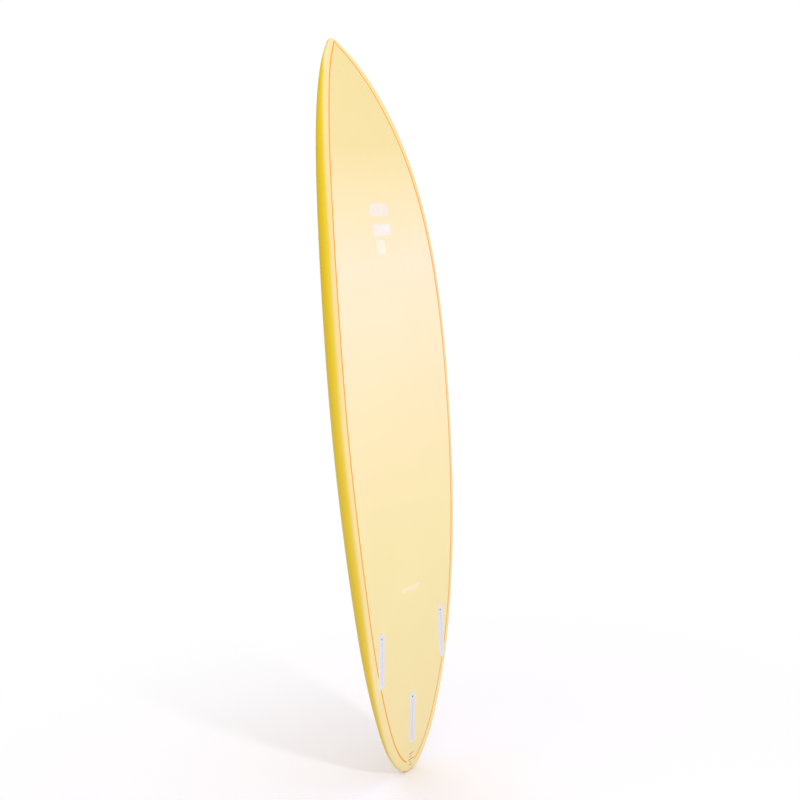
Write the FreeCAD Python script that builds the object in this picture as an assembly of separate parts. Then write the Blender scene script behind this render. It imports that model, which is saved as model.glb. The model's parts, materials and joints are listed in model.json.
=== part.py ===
import FreeCAD, Part
import math
import os

# Surfboard: a shortboard blank with a wooden stringer, glass skins, a pinline, flush decals,
# three single-tab fin boxes and a leash plug. All lengths are in millimetres.
# Frame: the board stands on its tail. +Z runs from tail to nose, +X is the port side,
# the bottom with its fin boxes faces -Y and the deck faces +Y.
# The origin is the centre of the underside of the board's bounding box.

V = FreeCAD.Vector

# ---------------------------------------------------------------- hull dimensions
LENGTH = 1830.0  # nominal, nose to tail
# plan outline: share of the length from the tail, half-width
OUTLINE = [
    (0.012, 47.4), (0.035, 80.7), (0.08, 119.3), (0.15, 159.0), (0.25, 194.2),
    (0.37, 218.2), (0.50, 229.4), (0.62, 226.5), (0.73, 210.2), (0.83, 176.3),
    (0.91, 125.9), (0.965, 67.5), (0.99, 26.8),
]
TIP_ROUNDING = 3.0  # blunting length of the pointed nose in plan
NOSE_FULLNESS = 0.15  # power that fills out the plan towards the nose
TAIL_ROCKER = 51.5
TAIL_ROCKER_POWER = 2.42
NOSE_ROCKER = 115.7
NOSE_ROCKER_POWER = 3.3
FLAT_SPOT = 0.47  # share of the length where the bottom is flattest
THICKNESS = 60.6
TAIL_THICKNESS_SHARE = 0.30
NOSE_THICKNESS_SHARE = 0.244
THICKEST = 0.52  # share of the length where the board is thickest
FOIL_NOSE_POWER = 2.92
FOIL_TAIL_POWER = 2.8
TIP_EDGE_RADIUS = 9.0  # side-view rounding of both tips
TIP_FLAT = 0.3  # each tip ends in a tiny flat this far inside the nominal length

APEX_SHARE = 0.342  # height of the rail's apex as a share of the thickness
RAIL_BOTTOM_POWER = 2.2
DECK_POWER = 2.5
# The lower rail's curve is about as wide as the smaller of these two.
RAIL_TO_APEX = 1.3  # times the apex's height above the bottom
RAIL_TO_WIDTH = 0.85  # times the half-width

SKIN_OUTER = 0.6  # deck laminate, filler coat and pinline
SKIN_INNER = 0.6  # bottom laminate and deck patch
STRINGER_WIDTH = 4.0

# ---------------------------------------------------------------- pinline and laps
PINLINE_INSET = 22.1  # from the plan outline to the pinline's outer edge
PINLINE_WIDTH = 3.5
# How far the pinline closes on the nose tip, and over what length: a wide and a sharp part
NOSE_PULL_WIDE, NOSE_PULL_WIDE_LENGTH = 8.8, 95.0
NOSE_PULL_SHARP, NOSE_PULL_SHARP_LENGTH = 6.6, 10.0
PINLINE_GAP_X = (-20.0, 14.0)  # bare stretch at the tail
PINLINE_GAP_TOP = 60.0
DECK_LAP_INSET = 52.0  # how far the bottom laminate laps onto the deck

# Flush decals: centre x, centre z, width, height, corner radius, turn in degrees
DECALS = {
    "nose_emblem_lozenge": [(1.5, 1418.0, 72.0, 31.0, 15.4, 0.0)],
    "nose_emblem_bar": [(2.0, 1370.0, 68.0, 28.0, 5.0, 0.0)],
    "nose_emblem_tab": [(-10.0, 1329.0, 34.0, 34.0, 4.0, 0.0)],
    "fin_mark": [(2.0, 487.0, 76.0, 13.0, 4.0, 0.0)],
    "tail_dashes": [
        (0.5, 48.0, 18.0, 1.8, 0.8, -6.0), (-2.5, 40.2, 11.0, 1.6, 0.7, -6.0),
        (0.0, 32.4, 22.0, 2.0, 0.9, -2.0), (-3.4, 25.4, 7.0, 1.4, 0.6, -6.0),
        (-2.0, 17.6, 13.0, 1.6, 0.7, -4.0),
    ],
}

# ---------------------------------------------------------------- fin boxes and leash plug
# Box outlines: length, width, corner radius
FLANGE = (140.7, 22.0, 10.9)
BODY = (134.0, 15.0, 6.0)
SLOT = (114.6, 7.1, 3.5)
FLANGE_THICKNESS = 3.0
BODY_OVERLAP = 0.5  # how far the body reaches into the flange
SIDE_BOX_DEPTH = 16.0
SIDE_SLOT_DEPTH = 12.9
CENTRE_BOX_DEPTH = 20.0
CENTRE_SLOT_DEPTH = 16.6
SLOT_SHIFT = -6.0  # slot centre, towards the tail from the box centre
SLOT_LEAD_IN = 0.5  # width and depth of the step round the slot's mouth
SIDE_BOX_FRONT = (125.2, 407.2)  # x and z of the flange's ends
SIDE_BOX_REAR = (130.6, 265.8)
CENTRE_BOX_MID = 145.6
FLANGE_PROUD = 0.05  # flange seat above the hull at the box's centre
BED = 1.2  # resin bed around a box or the plug

SCREW_RADIUS = 2.0
SCREW_LENGTH = 9.0
SCREW_CHAMFER = 0.35
SCREW_CLEARANCE = 0.06
SCREW_TILT = 30.0  # degrees from the flange normal, tip towards the slot
SCREW_MOUTH = 57.4  # hole mouth, towards the nose from the box centre
SCREW_SUNK = 0.8
SCREW_SOCKET = 2.0  # hexagon across flats
SCREW_SOCKET_DEPTH = 2.4
SCREW_TRAVEL = 3.0
HOLE_SPARE = 0.4  # room at the end of the screw's travel
COUNTERBORE_WIDENING = 0.7
COUNTERBORE_DEPTH = 0.55

PLUG_X = 31.0
PLUG_Z = 96.0
PLUG_PROUD = 0.3
PLUG_FLANGE_RADIUS = 15.5
PLUG_FLANGE_THICKNESS = 2.2
PLUG_BODY_RADIUS = 13.0
PLUG_DEPTH = 18.0
PLUG_HOLE_RADIUS = 10.0
PLUG_HOLE_DEPTH = 15.5
PLUG_RIM_FILLET = 0.8
PLUG_MOUTH_FILLET = 0.6
PLUG_FLOOR_FILLET = 3.0
PLUG_PIN_RADIUS = 2.0
PLUG_PIN_DEPTH = 5.5
PLUG_PIN_END = 1.0  # from the pin's end to the body's outside
PLUG_BED_SUNK = 0.15  # bed's top below the flange's top

# ---------------------------------------------------------------- reach of the cutting tools
TOOL_BOTTOM, TOOL_TOP = -200.0, 300.0  # y, well outside the board
TOOL_SIDE = 300.0  # x, beyond the rail
TOOL_END = 10.0  # z, beyond the tips
POCKET_TOP = 12.0  # how far the pocket tools stand out of the surface


# ---------------------------------------------------------------- numerical helpers
def solve(matrix, values):
    """Gaussian elimination with partial pivoting; values is a list of rows."""
    def minus(row, factor, other):
        return [x - factor * y for x, y in zip(row, other)]

    n = len(matrix)
    matrix, values = list(matrix), list(values)
    for i in range(n):
        pivot = max(range(i, n), key=lambda r: abs(matrix[r][i]))
        matrix[i], matrix[pivot] = matrix[pivot], matrix[i]
        values[i], values[pivot] = values[pivot], values[i]
        for r in range(i + 1, n):
            factor = matrix[r][i] / matrix[i][i]
            matrix[r] = minus(matrix[r], factor, matrix[i])
            values[r] = minus(values[r], factor, values[i])
    result = [None] * n
    for i in reversed(range(n)):
        row = values[i]
        for c in range(i + 1, n):
            row = minus(row, matrix[i][c], result[c])
        result[i] = [x / matrix[i][i] for x in row]
    return result


def natural_spline(xs, ys):
    """Function of x: the natural cubic spline through the points."""
    n = len(xs)
    h = [xs[i + 1] - xs[i] for i in range(n - 1)]
    matrix = [[0.0] * n for _ in range(n)]
    values = [[0.0] for _ in range(n)]
    matrix[0][0] = matrix[n - 1][n - 1] = 1.0
    for i in range(1, n - 1):
        matrix[i][i - 1] = h[i - 1]
        matrix[i][i] = 2.0 * (h[i - 1] + h[i])
        matrix[i][i + 1] = h[i]
        values[i][0] = 6.0 * ((ys[i + 1] - ys[i]) / h[i] - (ys[i] - ys[i - 1]) / h[i - 1])
    bend = [row[0] for row in solve(matrix, values)]  # second derivatives

    def at(x):
        i = 0
        while i < n - 2 and x > xs[i + 1]:
            i += 1
        after, before = xs[i + 1] - x, x - xs[i]
        return (
            bend[i] * after**3 / (6 * h[i])
            + bend[i + 1] * before**3 / (6 * h[i])
            + (ys[i] / h[i] - bend[i] * h[i] / 6) * after
            + (ys[i + 1] / h[i] - bend[i + 1] * h[i] / 6) * before
        )

    return at


def shares_of(steps):
    """Running sum of the steps, from 0 to 1."""
    run = [0.0]
    for step in steps:
        run.append(run[-1] + step)
    return [x / run[-1] for x in run]


def even_points(curve, shares):
    """Points at the given shares of a dense polyline's length."""
    run = [0.0]
    for (x0, y0), (x1, y1) in zip(curve, curve[1:]):
        run.append(run[-1] + math.hypot(x1 - x0, y1 - y0))
    points, i = [], 0
    for share in shares:
        distance = share * run[-1]
        while i < len(run) - 2 and run[i + 1] < distance:
            i += 1
        f = (distance - run[i]) / max(run[i + 1] - run[i], 1e-12)
        (x0, y0), (x1, y1) = curve[i], curve[i + 1]
        points.append((x0 + f * (x1 - x0), y0 + f * (y1 - y0)))
    return points


# ---------------------------------------------------------------- board functions of z
def outline_base(s):
    """Basic plan shape with a round tail and a blunt point; the outline is a ratio to it."""
    to_nose = max(1.0 - s, 0.0)
    blunt = TIP_ROUNDING / LENGTH
    ends = math.sqrt(max(s, 0.0)) * math.sqrt(to_nose * (to_nose + 2 * blunt))
    return ends * (to_nose + blunt) ** -NOSE_FULLNESS


RATIOS = [width / outline_base(s) for s, width in OUTLINE]
fair_ratio = natural_spline(
    [0.0] + [s for s, _ in OUTLINE] + [1.0], [RATIOS[0]] + RATIOS + [RATIOS[-1]]
)


def half_width(z):
    s = z / LENGTH
    return fair_ratio(s) * outline_base(s)


def rocker(z):
    """Height of the bottom's centreline."""
    s = z / LENGTH
    nose = max((s - FLAT_SPOT) / (1 - FLAT_SPOT), 0.0) ** NOSE_ROCKER_POWER * NOSE_ROCKER
    tail = max((FLAT_SPOT - s) / FLAT_SPOT, 0.0) ** TAIL_ROCKER_POWER * TAIL_ROCKER
    return nose + tail


def thickness(z):
    s = z / LENGTH
    nose = max((s - THICKEST) / (1 - THICKEST), 0.0) ** FOIL_NOSE_POWER
    tail = max((THICKEST - s) / THICKEST, 0.0) ** FOIL_TAIL_POWER
    return THICKNESS * (1 - (1 - NOSE_THICKNESS_SHARE) * nose - (1 - TAIL_THICKNESS_SHARE) * tail)


def tip_rounding(z):
    """Share of the thickness left by the rounded tips."""
    d = min(z, LENGTH - z) / TIP_EDGE_RADIUS
    if d >= 1.0:
        return 1.0
    return math.sqrt(max(1 - (1 - d) ** 2, 0.0))


def apex_height(z):
    return rocker(z) + APEX_SHARE * thickness(z)


def deck_height(x, z):
    thick = thickness(z)
    rise = APEX_SHARE * thick
    dome = (1 - (abs(x) / half_width(z)) ** DECK_POWER) ** (1 / DECK_POWER)
    return rocker(z) + rise + (thick - rise) * dome


# ---------------------------------------------------------------- hull points
SECTION_STEPS = 13  # surface rows between the apex and each centreline
LOWER_GRADING = 1.8  # rows crowd towards the apex
UPPER_GRADING = 1.7
FLAT_POINTS = 40  # dense points across the flat of the bottom
CURVE_POINTS = 240  # dense points along each curve


def half_section(z):
    """Half girth at a station, from the bottom's centre round the rail to the deck's centre."""
    width, thick, edge = half_width(z), thickness(z), tip_rounding(z)
    apex = apex_height(z)
    rise = APEX_SHARE * thick
    low, high = rise * edge, (thick - rise) * edge
    rail = ((RAIL_TO_APEX * rise) ** -4 + (RAIL_TO_WIDTH * width) ** -4) ** -0.25
    flat = width - rail
    low_power, high_power = 2 / RAIL_BOTTOM_POWER, 2 / DECK_POWER
    lower = [(flat * k / float(FLAT_POINTS), apex - low) for k in range(FLAT_POINTS)]
    upper = []
    for k in range(CURVE_POINTS + 1):
        angle = math.pi / 2 * k / CURVE_POINTS
        c, s = max(math.cos(angle), 0.0), math.sin(angle)
        lower.append((flat + rail * s**low_power, apex - low * c**low_power))
        upper.append((width * c**high_power, apex + high * s**high_power))
    steps = [k / float(SECTION_STEPS) for k in range(SECTION_STEPS + 1)]
    lower = even_points(lower, [1 - (1 - k) ** LOWER_GRADING for k in steps])
    upper = even_points(upper, [k**UPPER_GRADING for k in steps])
    upper[-1] = (0.0, upper[-1][1])
    return lower + upper[1:]


def girth_points(z):
    """Closed girth, from the deck's centre over the starboard rail, the bottom and port rail."""
    half = half_section(z)
    return [V(-x, y, z) for x, y in reversed(half)] + [V(x, y, z) for x, y in half[1:]]


def stations():
    """Section places, close together at the tips and the same from either end."""
    zs = [TIP_FLAT * k * k for k in range(1, 9)]
    step = 7.5
    while zs[-1] < LENGTH / 2 - 30:
        zs.append(zs[-1] + step)
        step = min(step * 1.22, 62.0)
    zs[-1] = LENGTH / 2 - 10
    return zs + [LENGTH - z for z in reversed(zs)]


STATIONS = stations()
# Surface parameters: round the girth and along the board
TYPICAL_GIRTH = girth_points(LENGTH * 0.45)
GIRTH_PARAMS = shares_of([p.distanceToPoint(q) for p, q in zip(TYPICAL_GIRTH, TYPICAL_GIRTH[1:])])
LENGTH_PARAMS = shares_of([
    math.hypot(z1 - z0, half_width(z1) - half_width(z0))
    for z0, z1 in zip(STATIONS, STATIONS[1:])
])
# One row for each girth parameter, one column for each station
HULL_POINTS = list(zip(*[girth_points(z) for z in STATIONS]))


# ---------------------------------------------------------------- spline surfaces
DEGREE = 3


def knots_for(params):
    """Clamped knots by averaging the parameters."""
    inner = [sum(params[j : j + DEGREE]) / DEGREE for j in range(1, len(params) - DEGREE)]
    return [params[0]] * (DEGREE + 1) + inner + [params[-1]] * (DEGREE + 1)


def basis_row(knots, n, x):
    """Values of the n basis functions at x."""
    row = [0.0] * n
    if x >= knots[n]:
        row[n - 1] = 1.0
        return row
    i = DEGREE
    while i < n - 1 and x >= knots[i + 1]:
        i += 1
    basis = [1.0]
    for d in range(1, DEGREE + 1):
        raised = [0.0] * (d + 1)
        for j in range(d):
            left, right = knots[i + 1 + j - d], knots[i + 1 + j]
            f = basis[j] / (right - left)
            raised[j] += (right - x) * f
            raised[j + 1] += (x - left) * f
        basis = raised
    row[i - DEGREE : i + 1] = basis
    return row


def spline_surface(grid):
    """Cubic surface through grid[i][j] at the hull's girth and length parameters."""
    knots, multiplicities, weights = [], [], []
    for params in (GIRTH_PARAMS, LENGTH_PARAMS):
        full = knots_for(params)
        distinct = full[DEGREE:-DEGREE]
        knots.append(distinct)
        multiplicities.append([DEGREE + 1] + [1] * (len(distinct) - 2) + [DEGREE + 1])
        weights.append([basis_row(full, len(params), x) for x in params])
    rows = solve(weights[0], [[c for p in row for c in (p.x, p.y, p.z)] for row in grid])
    columns = [
        [c for row in rows for c in row[3 * j : 3 * j + 3]] for j in range(len(LENGTH_PARAMS))
    ]
    columns = solve(weights[1], columns)
    poles = [
        [V(*column[3 * i : 3 * i + 3]) for column in columns] for i in range(len(GIRTH_PARAMS))
    ]
    surface = Part.BSplineSurface()
    surface.buildFromPolesMultsKnots(poles, *multiplicities, *knots, False, False, DEGREE, DEGREE)
    return surface


HULL = spline_surface(HULL_POINTS)


def inset_surface(inset):
    """The hull surface moved inwards along its normals, with level ends."""
    nudge = 1e-5  # parameter step for the tangents
    last = len(GIRTH_PARAMS) - 1
    grid = []
    for i, (u, row) in enumerate(zip(GIRTH_PARAMS, HULL_POINTS)):
        moved = []
        for v, p in zip(LENGTH_PARAMS, row):
            before, after = max(v - nudge, 0.0), min(v + nudge, 1.0)
            along = HULL.value(u, after) - HULL.value(u, before)
            if i in (0, last):
                normal = V(0, -along.z, along.y)
            else:
                normal = (HULL.value(u + nudge, v) - HULL.value(u - nudge, v)).cross(along)
            normal.normalize()
            if normal.dot(V(0, apex_height(p.z), p.z) - p) < 0:
                normal = normal.negative()
            q = p + normal * inset
            if i in (0, last // 2, last):  # centrelines of deck and bottom
                q.x = 0.0
            moved.append(q)
        moved[0].z = TIP_FLAT + inset
        moved[-1].z = LENGTH - TIP_FLAT - inset
        grid.append(moved)
    return spline_surface(grid)


def closed_solid(surface):
    faces = [surface.toShape()]
    for v in (LENGTH_PARAMS[0], LENGTH_PARAMS[-1]):
        faces.append(Part.Face(Part.Wire([surface.vIso(v).toShape()])))
    shell = Part.makeCompound(faces)
    shell.sewShape()
    solid = Part.Solid(shell.Shells[0])
    if solid.Volume < 0:
        solid.reverse()
    return solid


# ---------------------------------------------------------------- trimming tools
def spline_edge(points):
    curve = Part.BSplineCurve()
    curve.interpolate(points)
    return curve.toShape()


def nose_pull(z):
    """How much less than its usual inset the pinline keeps, near the nose."""
    t = LENGTH - z
    wide = NOSE_PULL_WIDE * math.exp(-((t / NOSE_PULL_WIDE_LENGTH) ** 2))
    return wide + NOSE_PULL_SHARP * math.exp(-t / NOSE_PULL_SHARP_LENGTH)


def outline_wire(inset, pulled):
    """Plan outline moved inwards by inset, in the plane y = 0."""
    zs = [0.25 * k * k for k in range(1, 12)]
    while zs[-1] < LENGTH - 60:
        zs.append(zs[-1] + 16.0)
    zs += [LENGTH - 0.35 * k * k for k in range(11, 0, -1)]
    points = []
    for z in zs:
        slope = (half_width(z + 0.02) - half_width(z - 0.02)) / 0.04
        stretch = math.sqrt(1 + slope * slope)
        d = inset - nose_pull(z) if pulled else inset
        x, moved_z = half_width(z) - d / stretch, z + d * slope / stretch
        # leave out points over the centreline and ones that bunch up
        if x > 1.5 and (not points or moved_z > points[-1][1] + 0.8):
            points.append((x, moved_z))
    # end points on the centreline
    x0, z0 = points[0]
    tail = max(inset, z0 - 0.5 * x0 * x0 / 30.0)
    (xa, za), (xb, zb) = points[-2:]
    nose = zb + xb * (zb - za) / (xa - xb) * 0.9
    port = [V(0, 0, tail)] + [V(x, 0, z) for x, z in points] + [V(0, 0, nose)]
    starboard = [V(-p.x, 0, p.z) for p in reversed(port)]
    return Part.Wire([spline_edge(port), spline_edge(starboard)])


def through_board(face):
    """Extrudes a face in the plane y = 0 right through the board."""
    face.translate(V(0, TOOL_BOTTOM, 0))
    return face.extrude(V(0, TOOL_TOP - TOOL_BOTTOM, 0))


def plan_zone(inset, region, pulled=False):
    return through_board(Part.Face(outline_wire(inset, pulled))).common(region)


def side_region(far_y):
    """Everything between the surface through both rail apexes and the plane y = far_y."""
    x, margin = -400.0, 60.0
    curve = [V(x, apex_height(z), z) for z in [LENGTH * k / 60.0 for k in range(61)]]
    corners = [
        curve[-1],
        V(x, curve[-1].y, LENGTH + margin),
        V(x, far_y, LENGTH + margin),
        V(x, far_y, -margin),
        V(x, curve[0].y, -margin),
        curve[0],
    ]
    lines = [Part.makeLine(p, q) for p, q in zip(corners, corners[1:])]
    wire = Part.Wire([lines[-1], spline_edge(curve)] + lines[:-1])
    return Part.Face(wire).extrude(V(-2 * x, 0, 0))


def slab(x0, x1, top=LENGTH + TOOL_END):
    """Block between two x planes, from below the tail up to z = top."""
    corner = V(x0, TOOL_BOTTOM, -TOOL_END)
    return Part.makeBox(x1 - x0, TOOL_TOP - TOOL_BOTTOM, top + TOOL_END, corner)


def rounded_rectangle(width, length, radius, point):
    """Rounded rectangle face about its centre; point(a, b) turns its coordinates into a vector."""
    a, b, r = width / 2, length / 2, radius
    k = r * (1 - math.sqrt(0.5))
    # for each side: start, end, then the middle of the corner arc that follows
    p = [point(*ab) for ab in (
        (-a + r, -b), (a - r, -b), (a - k, -b + k),
        (a, -b + r), (a, b - r), (a - k, b - k),
        (a - r, b), (-a + r, b), (-a + k, b - k),
        (-a, b - r), (-a, -b + r), (-a + k, -b + k),
    )]
    edges = []
    for i in range(0, 12, 3):
        edges.append(Part.makeLine(p[i], p[i + 1]))
        edges.append(Part.Arc(p[i + 1], p[i + 2], p[(i + 3) % 12]).toShape())
    return Part.Face(Part.Wire(edges))


def decal_prism(mark):
    x, z, width, height, radius, turn = mark
    face = rounded_rectangle(width, height, radius, lambda a, b: V(a, 0, b))
    face.rotate(V(0, 0, 0), V(0, 1, 0), turn)
    face.translate(V(x, 0, z))
    return through_board(face)


def cylinder(radius, z0, z1):
    return Part.makeCylinder(radius, z1 - z0, V(0, 0, z0), V(0, 0, 1))


# ---------------------------------------------------------------- placing the fittings
def surface_frame(point, along, out, proud):
    """Placement with Z outwards and Y along, its origin standing proud of a surface point."""
    out.normalize()
    along.normalize()
    across = along.cross(out)
    across.normalize()
    place = FreeCAD.Placement(FreeCAD.Matrix(
        across.x, along.x, out.x, 0,
        across.y, along.y, out.y, 0,
        across.z, along.z, out.z, 0,
        0, 0, 0, 1,
    ))
    place.Base = point + out * proud
    return place


def bottom_frame(x, z, toe_x, toe_z):
    """Frame on the bottom; Y points towards the nose along the toe direction."""
    slope = (rocker(z + 1) - rocker(z - 1)) / 2.0
    along = V(toe_x, toe_z * slope, toe_z)
    return surface_frame(V(x, rocker(z), z), along, V(0, -1, slope), FLANGE_PROUD)


def deck_frame(x, z):
    slope_x = (deck_height(x + 1, z) - deck_height(x - 1, z)) / 2
    slope_z = (deck_height(x, z + 1) - deck_height(x, z - 1)) / 2
    point = V(x, deck_height(x, z), z)
    return surface_frame(point, V(0, slope_z, 1), V(-slope_x, 1, -slope_z), PLUG_PROUD)


def placed(shape, place):
    result = shape.copy()
    result.Placement = place.multiply(result.Placement)
    return result


# ---------------------------------------------------------------- fin boxes
# Box coordinates: X across, Y along towards the nose, Z outwards, flange top at Z = 0.
def box_prism(outline, z0, z1, grow=0.0, shift=0.0):
    length, width, radius = outline
    face = rounded_rectangle(
        width + 2 * grow, length + 2 * grow, radius + grow, lambda a, b: V(a, b, z0)
    )
    face.translate(V(0, shift, 0))
    return face.extrude(V(0, 0, z1 - z0))


def screw_place():
    """Placement of the screw axis in box coordinates; its +Z points out of the hole."""
    tilt = math.radians(SCREW_TILT)
    axis = V(0, math.sin(tilt), math.cos(tilt))
    return FreeCAD.Placement(V(0, SCREW_MOUTH, 0), FreeCAD.Rotation(V(0, 0, 1), axis))


def fin_box(depth, slot_depth):
    flange = box_prism(FLANGE, -FLANGE_THICKNESS, 0)
    body = box_prism(BODY, -depth, -FLANGE_THICKNESS + BODY_OVERLAP)
    box = flange.fuse(body).cut(box_prism(SLOT, -slot_depth, 1.0, shift=SLOT_SHIFT))
    hole_depth = SCREW_SUNK + SCREW_LENGTH + SCREW_TRAVEL + HOLE_SPARE
    hole = cylinder(SCREW_RADIUS + SCREW_CLEARANCE, -hole_depth, 3.0)
    bore = cylinder(SCREW_RADIUS + COUNTERBORE_WIDENING, -COUNTERBORE_DEPTH, 2.45)
    tool = hole.fuse(bore)
    tool.Placement = screw_place()
    box = box.cut(tool)
    box = box.cut(box_prism(SLOT, -SLOT_LEAD_IN, 1.0, SLOT_LEAD_IN, SLOT_SHIFT))
    return box.removeSplitter()


def grub_screw():
    top = -SCREW_SUNK
    screw = cylinder(SCREW_RADIUS, top - SCREW_LENGTH, top)
    radius = SCREW_SOCKET / math.sqrt(3)
    angles = [math.radians(60 * i) for i in range(7)]
    floor = top - SCREW_SOCKET_DEPTH
    hexagon = [V(radius * math.cos(a), radius * math.sin(a), floor) for a in angles]
    socket = Part.Face(Part.makePolygon(hexagon)).extrude(V(0, 0, SCREW_SOCKET_DEPTH + 1))
    screw = screw.cut(socket)
    ends = [e for e in screw.Edges if isinstance(e.Curve, Part.Circle)]
    screw = screw.makeChamfer(SCREW_CHAMFER, ends)
    screw.Placement = screw_place()
    return screw


def box_space(depth, grow, top):
    """Space a box takes, grown all round and open outwards up to top."""
    flange = box_prism(FLANGE, -FLANGE_THICKNESS - grow, top, grow)
    body = box_prism(BODY, -depth - grow, -FLANGE_THICKNESS, grow)
    return flange.fuse(body).removeSplitter()


def fin_fittings():
    """Boxes, screws and resin beds, and the pockets they sit in."""
    (front_x, front_z), (rear_x, rear_z) = SIDE_BOX_FRONT, SIDE_BOX_REAR
    boxes = []
    for name, side in (("port", 1), ("starboard", -1)):
        place = bottom_frame(
            side * (front_x + rear_x) / 2, (front_z + rear_z) / 2,
            side * (front_x - rear_x), front_z - rear_z,
        )
        boxes.append((name, place, SIDE_BOX_DEPTH, SIDE_SLOT_DEPTH))
    centre = bottom_frame(0, CENTRE_BOX_MID, 0, 1)
    boxes.append(("centre", centre, CENTRE_BOX_DEPTH, CENTRE_SLOT_DEPTH))
    parts, pockets = {}, []
    for name, place, depth, slot_depth in boxes:
        bed = box_space(depth, BED, 0).cut(box_space(depth, 0.0, 0))
        parts["fin_box_" + name] = placed(fin_box(depth, slot_depth), place)
        parts["fin_screw_" + name] = placed(grub_screw(), place)
        parts["fin_bed_" + name] = placed(bed, place)
        pockets.append(placed(box_space(depth, BED, POCKET_TOP), place))
    return parts, pockets


# ---------------------------------------------------------------- leash plug
# Plug coordinates: Z outwards, flange top at Z = 0.
def circles_at(shape, z, below_radius=math.inf):
    return [
        e for e in shape.Edges
        if isinstance(e.Curve, Part.Circle)
        and abs(e.BoundBox.ZMax - z) < 1e-6
        and e.Curve.Radius < below_radius
    ]


def plug_space(grow, top):
    flange = cylinder(PLUG_FLANGE_RADIUS + grow, -PLUG_FLANGE_THICKNESS - grow, top)
    body = cylinder(PLUG_BODY_RADIUS + grow, -PLUG_DEPTH - grow, -PLUG_FLANGE_THICKNESS)
    return flange.fuse(body)


def leash_cup(pin):
    cup = plug_space(0, 0).removeSplitter()
    cup = cup.makeFillet(PLUG_RIM_FILLET, circles_at(cup, 0))
    cup = cup.cut(cylinder(PLUG_HOLE_RADIUS, -PLUG_HOLE_DEPTH, 1))
    cup = cup.makeFillet(PLUG_MOUTH_FILLET, circles_at(cup, 0, PLUG_HOLE_RADIUS + 0.1))
    cup = cup.makeFillet(PLUG_FLOOR_FILLET, circles_at(cup, -PLUG_HOLE_DEPTH))
    return cup.cut(pin)


def leash_fittings():
    """Cup, cross pin and resin bed, and the pocket they sit in."""
    place = deck_frame(PLUG_X, PLUG_Z)
    reach = PLUG_BODY_RADIUS - PLUG_PIN_END
    start = V(-reach, 0, -PLUG_PIN_DEPTH)
    pin = Part.makeCylinder(PLUG_PIN_RADIUS, 2 * reach, start, V(1, 0, 0))
    pocket = plug_space(BED, POCKET_TOP)
    below_top = cylinder(PLUG_FLANGE_RADIUS + BED + 2, -PLUG_DEPTH - 5, -PLUG_BED_SUNK)
    bed = pocket.cut(plug_space(0, POCKET_TOP)).common(below_top)
    parts = {
        "leash_cup": placed(leash_cup(pin), place),
        "leash_pin": placed(pin, place),
        "leash_bed": placed(bed, place),
    }
    return parts, placed(pocket, place)


# ---------------------------------------------------------------- board layers
def board_layers(hull, below, above):
    """Blank, stringer and skins, before decals and pockets."""
    middle = closed_solid(inset_surface(SKIN_OUTER))
    core = closed_solid(inset_surface(SKIN_OUTER + SKIN_INNER))
    outer_skin = hull.cut(middle)
    inner_skin = middle.cut(core)

    # The deck laminate wraps the rails and reaches the pinline on the bottom.
    zone_out = plan_zone(PINLINE_INSET, below, pulled=True)
    zone_in = plan_zone(PINLINE_INSET + PINLINE_WIDTH, below, pulled=True)
    zone_in = zone_in.fuse(zone_out.common(slab(*PINLINE_GAP_X, PINLINE_GAP_TOP)))
    # The bottom laminate wraps the rails and laps onto the deck around the patch.
    lap = plan_zone(DECK_LAP_INSET, above)
    half = STRINGER_WIDTH / 2
    return {
        "foam_core_port": core.common(slab(half, TOOL_SIDE)),
        "foam_core_starboard": core.common(slab(-TOOL_SIDE, -half)),
        "stringer": core.common(slab(-half, half)),
        "bottom_laminate": inner_skin.cut(lap),
        "deck_patch": inner_skin.common(lap),
        "deck_laminate": outer_skin.cut(zone_out),
        "bottom_filler_coat": outer_skin.common(zone_in),
        "pinline": outer_skin.common(zone_out).cut(zone_in),
    }


def inlay_decals(layers, below):
    """Cuts the decals out of the bottom's outer layer and returns them."""
    decals = {}
    for name, marks in DECALS.items():
        pieces = []
        for mark in marks:
            tool = decal_prism(mark).common(below)
            # a mark nearer the tail than the pinline lies in the deck laminate's lap
            layer = "deck_laminate" if mark[1] < PINLINE_INSET else "bottom_filler_coat"
            pieces.append(layers[layer].common(tool))
            layers[layer] = layers[layer].cut(tool)
        decals[name] = Part.makeCompound(pieces)
    return decals


def with_pockets(shape, pockets):
    for pocket in pockets:
        if shape.BoundBox.intersect(pocket.BoundBox):
            shape = shape.cut(pocket)
    return shape


def save(name, shape, move):
    solids = [s for s in shape.Solids if s.Volume > 0.05]  # leave out slivers
    result = solids[0] if len(solids) == 1 else Part.makeCompound(solids)
    result.translate(move)
    result.exportStep("parts/%s.step" % name)


# ---------------------------------------------------------------- build
board = closed_solid(HULL)
to_origin = V(0, -(board.BoundBox.YMin + board.BoundBox.YMax) / 2.0, -TIP_FLAT)
below_apex = side_region(-200.0)
above_apex = side_region(400.0)

layers = board_layers(board, below_apex, above_apex)
parts = inlay_decals(layers, below_apex)
fin_parts, pockets = fin_fittings()
leash_parts, leash_pocket = leash_fittings()
pockets.append(leash_pocket)
parts.update(fin_parts)
parts.update(leash_parts)
for name, shape in layers.items():
    parts[name] = with_pockets(shape, pockets)

os.makedirs("parts", exist_ok=True)
for name, shape in parts.items():
    save(name, shape, to_origin)
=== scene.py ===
# A resin-coated surfboard standing on its tail, with three fin boxes and a leash plug.
# z runs up from the tail to the nose, x across the board (port is +x), and y through its
# thickness (bottom towards -y, deck towards +y). Shapes are drawn in millimetres in the board's
# own frame, with the tail's end at z = 0, and to_metres() moves them into the scene.
import bpy
import bmesh
import json
import math
import numpy as np
from contextlib import contextmanager
from mathutils import Matrix, Vector

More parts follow.
